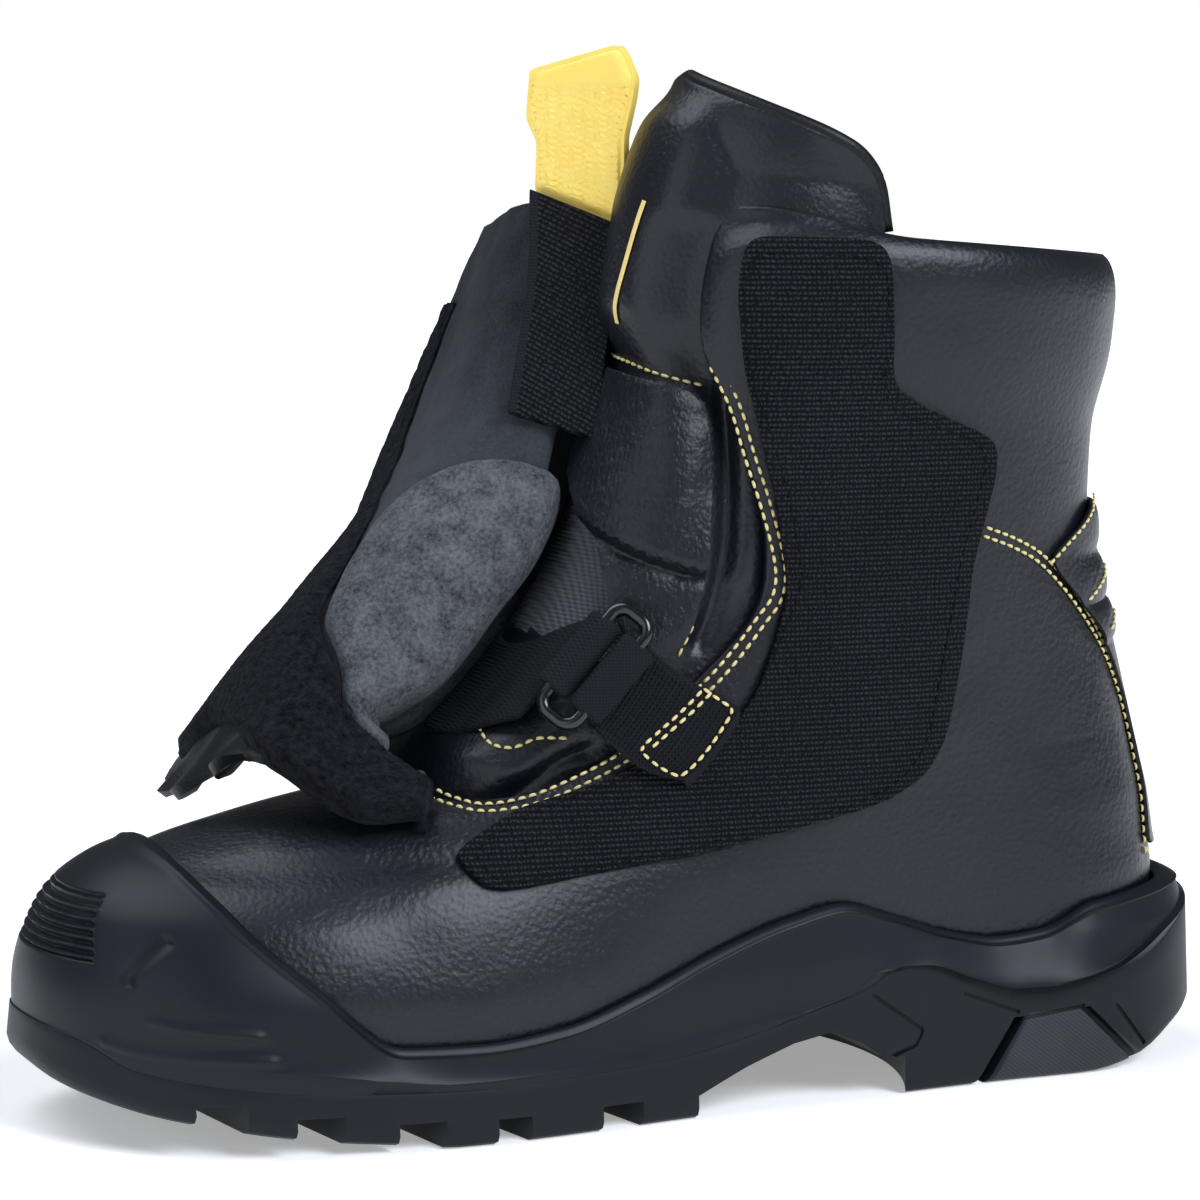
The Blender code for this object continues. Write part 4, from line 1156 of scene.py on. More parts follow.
    def build_shell(self) -> Piece:
        """The hollow shell, with cloth on its inner face."""
        low = np.linspace(0, 0.475, 30)
        mid = (0.478, 0.481, 0.4845, 0.488, 0.495, 0.502, 0.51, 0.52)
        share, rise = np.meshgrid(
            np.linspace(-1, 1, self.columns),
            np.concatenate((low, mid, np.linspace(0.535, 0.93, 22), np.linspace(0.94, 1.0, 8))),
        )
        turn = share * self.limit(share, rise)
        rise = self.dipped(turn, rise)
        rise = rise + self.corner_rise * step01((np.abs(turn) - 0.54) / 0.24) * step01((rise - 0.90) / 0.10)
        flat = self.last.place(turn, rise)
        swell = self.relief(flat) + self.puff(turn, rise)
        shell = Bench.grid("upper_shell", self.last.place(turn, rise, swell), flip=True)
        Bench.edit(shell, lambda: bpy.ops.mesh.remove_doubles(threshold=self.weld * MM))
        paint(shell, Look.SHAFT, Look.COLLAR_CLOTH)
        padding = shell.vertex_groups.new(name="padding")
        levels = np.round(self.padding_at(Bench.places(shell)[:, 2] / MM), 2)
        for level in np.unique(levels):
            padding.add(np.flatnonzero(levels == level).tolist(), float(level), "REPLACE")
        Bench.wall(
            shell, self.collar_wall, vertex_group="padding",
            thickness_vertex_group=self.wall / self.collar_wall, material_offset=1,
        )
        Bench.soften(shell)
        return settle(shell, "upper_leather", "upper")

    def on_stay(self, turn: Array, rise: Array) -> Array:
        """Back stay with its padded flex ribs."""
        lift = np.zeros(len(turn))
        for centre in self.flex_ribs:
            near = np.clip(1 - ((rise - centre) / self.rib_half) ** 2, 0, 1)
            fade = np.clip((self.rib_end - np.abs(turn)) / self.rib_fade, 0, 1)
            lift = lift + self.rib_height * near ** 0.6 * fade
        return self.last.place(turn, rise, self.stay_seat + lift)

    def build_stay(self) -> Piece:
        """Back stay over the heel seam."""
        mirrored = tuple((-t, r) for t, r in self.stay_edge[::-1])
        outline = rounded(self.stay_edge + mirrored, SHARE_MM, 4.0)
        stay = Bench.plate(
            "back_stay_panel", outline, (0.025, 0.0075), self.on_stay, self.stay_thickness, 0.35,
        )
        return settle(paint(stay, Look.SHAFT), "upper_leather", "back_stay")

    def build_patch(self) -> Piece:
        """Hook patch of the flap's fastening."""
        outline = rounded(self.patch_outline, SHARE_MM, 3.5)
        patch = Bench.plate(
            "fastener_patch_tape", outline, (0.022, 0.0275),
            lambda t, r: self.last.place(t, r, self.patch_seat + self.puff(t, r)), self.patch_thickness, 0.5,
        )
        settle(paint(patch, Look.HOOKS), "hook_tape", "fastener_patch")
        spine = np.full(outline.shape, self.patch_spine)
        spine[:, 1] = np.clip(outline[:, 1], *self.patch_spine_rise)
        inward = spine - outline
        length = np.linalg.norm(inward * SHARE_MM, axis=-1, keepdims=True)
        inset = outline + inward * self.patch_inset / np.maximum(length, self.patch_inset)
        closed = np.vstack((inset, inset[:1]))
        out = self.patch_seat + self.patch_thickness + self.puff(*closed.T)
        row = (self.last.place(*closed.T, out), self.last.normal(*closed.T))
        self.patch_stitch.sew("patch_edge_stitches", [row], Look.BLACK_THREAD, "hook_tape")
        return patch

    def seam(self, path: Sequence[Pair], out: float, count: int = 90) -> tuple[Array, Array]:
        """Points and normals of a seam on the shell."""
        turn, rise = spread(np.array(path), count).T
        return self.last.place(turn, rise, out), self.last.normal(turn, rise)

    def sew(self) -> None:
        """The double rows along the throat and the back seam."""
        throat = self.seam(self.throat_seam, -0.25)
        self.stitch.sew(
            "throat_stitches", [beside(*throat, -self.throat_rows), beside(*throat, self.throat_rows)],
            Look.YELLOW_THREAD, "upper_leather",
        )
        back = self.seam(self.back_seam, 0.1)
        rows = [beside(*back, self.back_rows), beside(*back, -self.back_rows)]
        mirror = np.array((1.0, -1.0, 1.0))
        rows += [(path * mirror, normals * mirror) for path, normals in rows]
        for path in self.rib_seams:
            turn, rise = spread(np.array(path), 24).T
            lift = np.linalg.norm(self.on_stay(turn, rise) - self.last.place(turn, rise), axis=-1)
            row = self.last.place(turn, rise, lift + self.stay_thickness), self.last.normal(turn, rise)
            rows += [beside(*row, 0.0), (row[0] * mirror, row[1] * mirror)]
        self.stitch.sew("back_seam_stitches", rows, Look.YELLOW_THREAD, "upper_leather")


class TongueRow(NamedTuple):
    """Side limits and thickness of the tongue at a rise."""

    rise: float
    outer: float
    inner: float
    thickness: float


@dataclass
class Tongue:
    """Bellows leather under the throat with its padded, piped top."""

    last: Last
    upper: Upper
    stitch: Stitch
    rows: tuple[TongueRow, ...] = (
        TongueRow(0.45, 0.80, 0.80, 2.5), TongueRow(0.53, 0.67, 0.69, 2.5),
        TongueRow(0.62, 0.63, 0.65, 2.5), TongueRow(0.72, 0.59, 0.64, 2.5),
        TongueRow(0.82, 0.62, 0.66, 2.5), TongueRow(0.87, 0.64, 0.68, 3.5),
        TongueRow(0.90, 0.64, 0.68, 7.0), TongueRow(1.00, 0.585, 0.63, 7.5),
        TongueRow(1.17, 0.570, 0.62, 6.0),
    )
    top: tuple[Pair, ...] = ((0.0, 1.165), (0.38, 1.135), (0.76, 1.095), (0.90, 1.060), (1.0, 1.000))
    seat: float = 1.6
    full: float = 7.5
    top_stitch: tuple[Pair, ...] = ((1.080, 0.884), (0.990, 0.880), (0.912, 0.874), (0.819, 0.868))
    gusset_stitch: tuple[Pair, ...] = (
        (0.906, 0.570), (0.854, 0.562), (0.816, 0.565), (0.799, 0.579), (0.761, 0.583),
    )
    short_stitch: tuple[Pair, ...] = ((0.704, 0.685), (0.703, 0.656))
    folds: tuple[Fold, ...] = (
        Fold(((0.800, 0.886), (0.764, 0.842), (0.738, 0.805), (0.715, 0.767), (0.697, 0.729),
              (0.690, 0.693), (0.688, 0.672)), 2.4, -2.6),
        Fold(((0.785, 0.893), (0.748, 0.850), (0.714, 0.808), (0.684, 0.768), (0.660, 0.722)), 3.6, 1.6),
        Fold(((0.763, 0.510), (0.755, 0.534), (0.747, 0.558), (0.731, 0.568)), 2.0, -1.8),
        Fold(((1.080, 0.884), (0.990, 0.880), (0.912, 0.874), (0.819, 0.868)), 2.2, -1.2),
        Fold(((1.020, 0.640), (0.930, 0.625), (0.830, 0.615)), 4.0, -0.9),
    )
    panel: tuple[Pair, ...] = (
        (0.822, 0.860), (0.788, 0.838), (0.762, 0.806), (0.738, 0.767), (0.718, 0.729), (0.709, 0.693),
        (0.708, 0.664), (0.728, 0.652), (0.770, 0.668), (0.814, 0.690), (0.857, 0.720), (0.909, 0.745),
        (0.955, 0.765), (1.010, 0.790), (1.050, 0.830), (1.060, 0.872), (0.990, 0.871), (0.912, 0.866),
    )
    crease: tuple[Pair, ...] = (
        (0.70, 0.722), (0.776, 0.732), (0.834, 0.738), (0.911, 0.749), (1.10, 0.775),
    )
    panel_thickness: float = 1.6
    panel_seat: float = 1.1
    panel_rolls: tuple[Triple, ...] = ((0.86, 0.08, 1.8), (0.765, 0.025, -1.0))
    overhang: float = 3.0
    rounding: tuple[float, ...] = (-0.15, -0.10, -0.05, 0.0, 0.05, 0.10, 0.15)
    top_from: float = 0.88
    swell: float = 2.0
    cushion: float = 3.4
    brow: float = 7.0
    brow_half: float = 0.17
    cloth_rise: Pair = (0.655, 0.80)
    cloth_turn: Pair = (0.76, 1.35)
    stripe: tuple[Pair, ...] = ((0.948, 1.004), (0.976, 0.905))
    stripe_half: float = 0.7
    piping_radius: float = 2.0
    piping_sink: float = 2.2

    def sides(self, across: Array, rise: Array) -> Array:
        """Turn of a share across at a rise."""
        outer, inner = (between_rows(self.rows, field, rise) for field in ("outer", "inner"))
        return 1 + np.where(across >= 0, across * (1 - inner), across * (1 - outer))

    def out_at(self, turn: Array, rise: Array) -> Array:
        """Millimetres off the foot form of the tongue's outer face, before its folds."""
        side = own_side(turn)
        limit = self.upper.limit(np.where(turn > 1, -1, 1), rise)
        free = step01((side - limit - 0.01) / 0.10) * np.clip((rise - 0.50) / 0.04, 0, 1)
        free = np.maximum(free, np.clip((rise - 1.05) / 0.08, 0, 1))
        deeper = 2.0 * np.clip((0.56 - rise) / 0.06, 0, 1)
        wall = self.upper.wall_at(self.last.place(turn, self.upper.dipped(side, rise))[..., 2])
        return -(wall + self.seat + deeper) * (1 - free) - 0.8 * free

    def place(self, turn: Array, rise: Array, lift: Array | float = 0.0) -> Array:
        """Points on the tongue's outer face with its folds."""
        side = own_side(turn)
        out = self.out_at(turn, rise)
        low = self.upper.dipped(side, rise)
        flat = self.last.place(turn, low, out)
        relief = self.swell * step01((rise - 0.885) / 0.05) * step01((1.15 - rise) / 0.06)
        for fold in self.folds:
            t, r = spread(np.array(fold.path), 16).T
            path = self.last.place(t, self.upper.dipped(own_side(t), r), self.out_at(t, r))
            relief = relief + fold.height * bell(distance(flat, path), fold.width)
        slack = step01((self.top_from - rise) / 0.03)
        relief = relief + slack * (0.25 * wander(flat, 22.0, 1.0) + 0.15 * wander(flat, 9.0, 2.0))
        padded = step01((rise - 0.87) / 0.05)
        bare = self.last.place(turn, low, out + relief + lift)
        across = np.clip((1 - side) / (1 - between_rows(self.rows, "outer", rise)), 0, 1)
        height = np.clip((rise - self.top_from) / (curve(across, self.top) - self.top_from), 0, 1)
        fall = np.clip((across - 0.45) / 0.55, 0, 1) ** 2 + np.clip((height - 0.50) / 0.50, 0, 1) ** 2
        full = out + relief + lift + self.cushion * (1 - step01(fall))
        full = full + self.brow * bell(turn - 1.0, self.brow_half)
        round_top = np.mean([self.last.place(turn + d, low, full) for d in self.rounding], axis=0)
        return bare + (round_top - bare) * padded[..., None]

    def on_panel(self, turn: Array, rise: Array) -> Array:
        """Back face of the creased panel: its upper part hangs over the lower at the crease."""
        over = (rise - curve(turn, self.crease)) * SHARE_MM[1]
        lift = self.overhang * step01(over / 1.3) * step01((24.0 - over) / 22.0) - bell(over + 0.9, 1.2)
        flat = self.last.place(turn, rise)
        drawn = 0.5 * np.sin(flat[..., 0] * 0.50 + flat[..., 2] * 0.15) * bell(turn - 0.745, 0.045)
        roll = sum(height * bell(turn - at, half) for at, half, height in self.panel_rolls)
        return self.place(turn, rise, self.panel_seat + lift + drawn + roll + 0.2 * wander(flat, 15.0, 0.4))

    def build_panel(self) -> Piece:
        """Creased leather panel sewn under the padded top."""
        outline = rounded(self.panel, SHARE_MM, 3.0)
        panel = Bench.plate(
            "tongue_panel", outline, (0.0050, 0.0026), self.on_panel, self.panel_thickness, 0.6,
        )
        return settle(paint(panel, Look.PANEL), "tongue_leather")

    def on_face(self, path: Sequence[Pair], lift: float, count: int) -> tuple[Array, Array]:
        """Points and normals of a row on the tongue."""
        turn, rise = spread(np.array(path), count).T
        return self.place(turn, rise, lift), self.last.normal(turn, rise)

    def build(self) -> Piece:
        """The tongue with its cloth panel, piping and stripe."""
        across, up = np.meshgrid(np.linspace(-1, 1, 97), np.linspace(0, 1, 110))
        rise = self.rows[0].rise + (curve(np.abs(across), self.top) - self.rows[0].rise) * up
        turn = self.sides(across, rise)
        points = self.place(turn, rise)
        tongue = Bench.grid("tongue_leather", points, flip=True)
        paint(tongue, Look.TONGUE, Look.COLLAR_CLOTH, Look.GUSSET_CLOTH)
        middle = (points[:-1, :-1] + points[1:, 1:]) / 2
        found = nearest(middle.reshape(-1, 3), Bench.centres(tongue))
        t, r = ((a[:-1, :-1] + a[1:, 1:]).ravel()[found] / 2 for a in (turn, rise))
        inside = (t > self.cloth_turn[0]) & (t < self.cloth_turn[1])
        inside = inside & (r > self.cloth_rise[0]) & (r < self.cloth_rise[1])
        tongue.data.polygons.foreach_set("material_index", np.where(inside, 2, 0))
        padding = tongue.vertex_groups.new(name="padding")
        thick = between_rows(self.rows, "thickness", rise).ravel() / self.full
        for index, near in enumerate(nearest(points.reshape(-1, 3), Bench.places(tongue) / MM)):
            padding.add([index], float(thick[near]), "REPLACE")
        Bench.wall(tongue, self.full, vertex_group="padding")
        Bench.soften(tongue)
        settle(tongue, "tongue_leather", "tongue")
        self.build_panel()
        self.build_piping()
        self.build_stripe()
        rows = [
            self.on_face(self.top_stitch, 0.5, 60), self.on_face(self.gusset_stitch, 0.1, 50),
            self.on_face(self.short_stitch, 0.1, 12),
        ]
        self.stitch.sew("tongue_stitches", rows, Look.YELLOW_THREAD, "tongue_leather")
        return tongue

    def build_piping(self) -> Piece:
        """Cord sewn into the tongue's top edge."""
        across = np.linspace(-1, 1, 121)
        rise = curve(np.abs(across), self.top)
        path = self.place(self.sides(across, rise), rise, -self.piping_sink)
        piping = Bench.tube("tongue_piping", path, self.piping_radius, 12)
        return settle(paint(piping, Look.PIPING), "tongue_leather")

    def build_stripe(self) -> Piece:
        """Plain printed stripe down the tongue's top."""
        turn, rise = spread(np.array(self.stripe), 40).T
        middle = self.place(turn, rise, 0.25)
        side = unit(np.cross(self.last.normal(turn, rise), np.gradient(middle, axis=0))) * self.stripe_half
        stripe = Bench.grid("tongue_stripe", np.stack((middle - side, middle, middle + side), axis=1))
        Bench.wall(stripe, 0.3)
        Bench.outward(stripe)
        Bench.smooth(stripe, 50.0)
        return settle(paint(stripe, Look.YELLOW_PRINT), "pull_tab_plastic")


@dataclass
class Sole:
    """Rubber tread, foam side wall with the toe guard, and the footbed."""

    last: Last
    outline: Ring = Ring(-79.0, 0.0, 228.0, 0.0, 42.0, 39.5, 51.0, 44, 64, 0, 1.00)
    lip: tuple[Pair, ...] = (
        (-72, 44), (-60, 43.5), (-35, 41.6), (-21, 36), (-9, 35), (7, 38), (23, 43.5), (37, 47.5),
        (52, 44.5), (71, 38), (91, 30), (111, 24), (132, 22), (150, 22.5), (168, 35.5), (183, 49),
        (197, 67), (235, 125),
    )
    parting: tuple[Pair, ...] = (
        (-80, 41), (-70, 37), (-62, 34), (-54, 30), (-47, 27), (-34, 24.5), (-22, 23), (-10, 24.5),
        (2, 28), (14, 31.3), (22, 31.5), (30, 27), (45, 23), (60, 19), (80, 15.5), (99, 14.4),
        (132, 13.6), (167, 14.7), (192, 17.2), (210, 20.5), (219, 26), (228, 29),
    )
    floor: tuple[Pair, ...] = (
        (-80, 21), (-60, 21), (20, 21), (45, 19), (77, 13), (103, 11), (129, 10), (160, 11.5),
        (190, 15), (228, 22),
    )
    tread: tuple[Pair, ...] = (
        (-80, 13), (-70, 10.5), (-61, 8), (-52, 4), (-46, 2), (-38, 0.5), (-32, 0), (138, 0), (155, 1.8),
        (168, 3.2), (182, 5.2), (194, 7.3), (205, 9.3), (216, 12.3), (223, 15), (228, 19),
    )
    floor_inset: float = 5.2
    tread_inset: float = 2.5
    lip_thickness: float = 3.0
    heel_lip: float = 3.6
    lip_bead: float = 0.6
    lip_roll: tuple[Pair, ...] = ((0.0025, 0.92), (0.0060, 0.73), (0.0080, 0.53), (0.0075, 0.35))
    insole_inset: float = 4.2
    insole_thickness: float = 5.0
    lug_gaps: tuple[Pair, ...] = ((90, 101), (120, 128.5), (141, 152), (164.5, 175), (185, 195))
    lug_depth: float = 6.0
    lug_slant: float = math.radians(12)
    arch: tuple[Pair, ...] = (
        (76, -6), (76, 5.5), (63, 11), (50, 15.5), (40, 17.3), (32, 14), (26, 9.9), (24, -6),
    )
    breast_depth: float = 16.0
    heel_grooves: tuple[tuple[Pair, Pair], ...] = (((-0.5, -2), (-13, 16)), ((-51, -2), (-31, 17)))
    groove_width: float = 3.2
    heel_lines: tuple[tuple[Triple, ...], ...] = (
        ((-40.2, 40.7, 16.8), (-49.5, 38.9, 5.6)),
        ((2.9, 41.0, 23.3), (-12.9, 40.8, 17.1)),
        ((28.6, 42.5, 25.3), (14.6, 42.1, 15.3), (16.6, 42.3, 11.8), (24.0, 42.3, 9.5)),
        ((-14.0, 40.9, 15.5), (-31.0, 40.9, 17.3)),
    )
    line_width: float = 1.0
    line_depth: float = 0.8
    rib_low: float = 43.6
    rib_high: float = 58.0
    rib_pitch: float = 2.06
    rib_depth: float = 1.5
    rib_reach: float = 20.0
    rib_flare: float = 0.6
    toe_middle: float = -10.0
    chevron: tuple[Triple, ...] = (
        (201.7, 26.3, 49.4), (206.0, 25.0, 45.5), (209.9, 23.2, 41.6), (210.2, 23.6, 40.2),
    )
    chevron_depth: float = 1.3
    ridge_height: float = 1.0
    nearness: Triple = (1.0, 0.25, 1.0)
    ridges: tuple[tuple[Triple, ...], ...] = (
        ((205.5, 30.4, 31.7), (198.9, 35.0, 30.5), (184.3, 42.0, 29.0)),
        ((214.3, 21.3, 26.2), (204.9, 30.3, 24.2), (181.4, 42.5, 23.3)),
    )

    def edge(self, turn: Array, inset: float, line: Sequence[Pair], lift: float = 0.0) -> Array:
        """Sole outline, inset in plan, at the height of a side-view line."""
        base = self.outline
        ring = base._replace(
            back_x=base.back_x + inset, front_x=base.front_x - inset, heel=base.heel - inset,
            waist=base.waist - inset, ball=base.ball - inset,
        )
        point = self.last.on_ring(ring, turn)
        point[..., 2] = curve(point[..., 0], line) + lift
        return point

    @staticmethod
    def to_middle(points: Array) -> Array:
        """The same stations moved onto the middle line between both sides."""
        return (points + points[..., ::-1, :]) / 2

    @staticmethod
    def columns(count: int) -> Array:
        """Turns all round, closer together at the toe."""
        u = np.linspace(-1, 1, count)
        return u + np.sin(math.pi * u) * 0.3 / math.pi

    def relief(self, points: Array) -> Array:
        """Toe ribs, chevron and ridges of the side wall, in millimetres."""
        x, y, z = np.moveaxis(points, -1, 0)
        aside = y - self.toe_middle
        reach = self.rib_reach + (57.0 - z) * self.rib_flare
        wave = 0.5 - 0.5 * np.cos((z - self.rib_low) * (TAU / self.rib_pitch))
        here = step01((reach - np.abs(aside)) / 1.2) * (x > 150)
        here = here * step01((z - self.rib_low) / 0.6) * step01((self.rib_high - z) / 0.6)
        lift = -self.rib_depth * (1 - wave) ** 0.7 * here
        for side in (1.0, -1.0):
            seen = np.stack((x, aside * side + self.toe_middle, z), axis=-1) * self.nearness
            path = spread(np.array(self.chevron) * self.nearness, 12)
            lift = lift - self.chevron_depth * bell(distance(seen, path), 1.0)
            for ridge in self.ridges:
                path = spread(np.array(ridge) * self.nearness, 20)
                lift = lift + self.ridge_height * bell(distance(seen, path), 1.3)
        return lift

    def build_midsole(self) -> Piece:
        """Side wall with lip, running up over the toe as the guard."""
        turn = self.columns(461)
        bed = self.edge(turn, self.floor_inset + 1.5, self.floor, 0.3)
        foot = self.edge(turn, 1.3, self.parting, -0.5)
        start = self.last.rise_where(turn, self.parting, 2.0)
        lip = self.last.rise_where(turn, self.lip)
        base = np.linalg.norm((foot - self.last.place(turn, start))[..., :2], axis=-1)
        rows = [self.to_middle(bed), bed, foot]
        lip_out = self.lip_thickness + self.heel_lip * step01((0.20 - np.abs(turn)) / 0.16)
        shares = np.concatenate((
            np.linspace(0.02, 0.20, 14), np.linspace(0.20, 0.66, 112)[1:], np.linspace(0.66, 1.0, 28)[1:],
        ))
        for share in shares:
            bead = self.lip_bead * bell(share - 0.965, 0.022)
            thickness = base + (lip_out - base) * share ** 0.8 + bead
            rise = start + (lip - start) * share
            wall = self.last.place(turn, rise, thickness)
            wall[..., 2] = np.maximum(wall[..., 2], foot[..., 2] + 2.5 * share)
            fade = step01((1 - share) / 0.05) * step01(share / 0.06)
            rows.append(wall + self.last.normal(turn, rise) * (self.relief(wall) * fade)[..., None])
        for share, out in self.lip_roll:
            rows.append(self.last.place(turn, lip + share, out * lip_out))
        for share in (1.0, 0.7, 0.35, 0.0):
            rows.append(self.last.place(turn, lip * share, 0.9 + 1.8 * lip * (share < 1)))
        rows[-1][..., 2] -= 0.3
        rows.append(self.to_middle(rows[-1]))
        midsole = Bench.grid("midsole_wall", np.stack(rows))
        Bench.close(midsole)
        Bench.smooth(midsole, 50.0)
        return settle(paint(midsole, Look.MIDSOLE), "midsole_foam", "midsole")

    def build_outsole(self) -> Piece:
        """Tread slab with its rim, cut for arch, heel breast, lugs and heel grooves."""
        turn = self.columns(181)
        bottom = self.edge(turn, self.tread_inset, self.tread)
        corner = self.edge(turn, 1.0, self.tread, 0.8)
        shoulder = self.edge(turn, 0.4, self.tread, 2.5)
        rim = self.edge(turn, 1.2, self.parting, -0.3)
        rim[..., 2] = np.maximum(rim[..., 2], shoulder[..., 2] + 2)
        bed = self.edge(turn, self.floor_inset, self.floor, -0.9)
        wall = [shoulder + (rim - shoulder) * share for share in (0.25, 0.5, 0.75)]
        rows = (self.to_middle(bottom), bottom, corner, shoulder, *wall, rim, bed, self.to_middle(bed))
        outsole = Bench.grid("outsole_tread", np.stack(rows))
        Bench.close(outsole)
        for tool in self.tools():
            Bench.cut(outsole, tool)
        Bench.round_edges(outsole, 0.5)
        return settle(paint(outsole, Look.OUTSOLE), "sole_rubber", "outsole")

    def tools(self) -> list[Piece]:
        """Blocks that cut the tread."""
        tools = [Bench.cutter("arch", [(x, -70, z) for x, z in self.arch], (0, 140, 0))]
        reach = self.outline.heel + 8
        breast = [(24 - self.breast_depth * (1 - (k / 12) ** 2), reach * k / 12) for k in range(-12, 13)]
        breast += [(40, reach), (40, -reach)]
        tools.append(Bench.cutter("breast", [(x, y, -6) for x, y in breast], (0, 0, 15.5)))
        shift = math.tan(self.lug_slant) * 56
        for number, (start, end) in enumerate(self.lug_gaps):
            top = float(curve((start + end) / 2, self.tread)) + self.lug_depth
            for side in (-1, 1):
                corners = [(start, 0), (end, 0), (end - shift, side * 62), (start - shift, side * 62)]
                block = [(x + shift * 0.85, y, -8) for x, y in corners]
                tools.append(Bench.cutter(f"lug_{number}_{side}", block, (0, 0, top + 8)))
        half = self.groove_width / 2
        for number, (foot, head) in enumerate(self.heel_grooves):
            corners = [(x + k * half, z) for (x, z), k in ((foot, -1), (foot, 1), (head, 1), (head, -1))]
            for side in (-1, 1):
                block = [(x, side * 37, z) for x, z in corners]
                tools.append(Bench.cutter(f"groove_{number}_{side}", block, (0, side * 23, 0)))
        for number, line in enumerate(self.heel_lines):
            for step, (a, b) in enumerate(zip(line[:-1], line[1:])):
                way = unit(np.array((b[0] - a[0], b[2] - a[2])))
                side_x, side_z = -way[1] * self.line_width / 2, way[0] * self.line_width / 2
                for side in (-1, 1):
                    block = [
                        (x + k * side_x, side * (y - self.line_depth), z + k * side_z)
                        for (x, y, z), k in ((a, 1), (a, -1), (b, -1), (b, 1))
                    ]
                    tools.append(Bench.cutter(f"line_{number}_{step}_{side}", block, (0, side * 6, 0)))
        return tools

    def build_insole(self) -> Piece:
        """Footbed lying in the shell."""
        turn = np.linspace(-1, 1, 121)
        under = self.last.place(turn, 0.0, -self.insole_inset)
        under[..., 2] = self.last.place(turn, 0.0)[..., 2] + 0.3
        top = self.last.place(turn, 0.04, -self.insole_inset - 0.6)
        top[..., 2] = under[..., 2] + self.insole_thickness
        middle = self.to_middle(top)
        rows = [self.to_middle(under), under, top]
        rows += [top + (middle - top) * share for share in (0.03, 0.3, 0.6, 1.0)]
        insole = Bench.grid("insole_cloth", np.stack(rows))
        Bench.close(insole)
        Bench.smooth(insole, 50.0)
        return settle(paint(insole, Look.FOOTBED), "insole_cloth", "insole")

    def build(self) -> None:
        """All pieces of the sole."""
        self.build_midsole()
        self.build_outsole()
        self.build_insole()


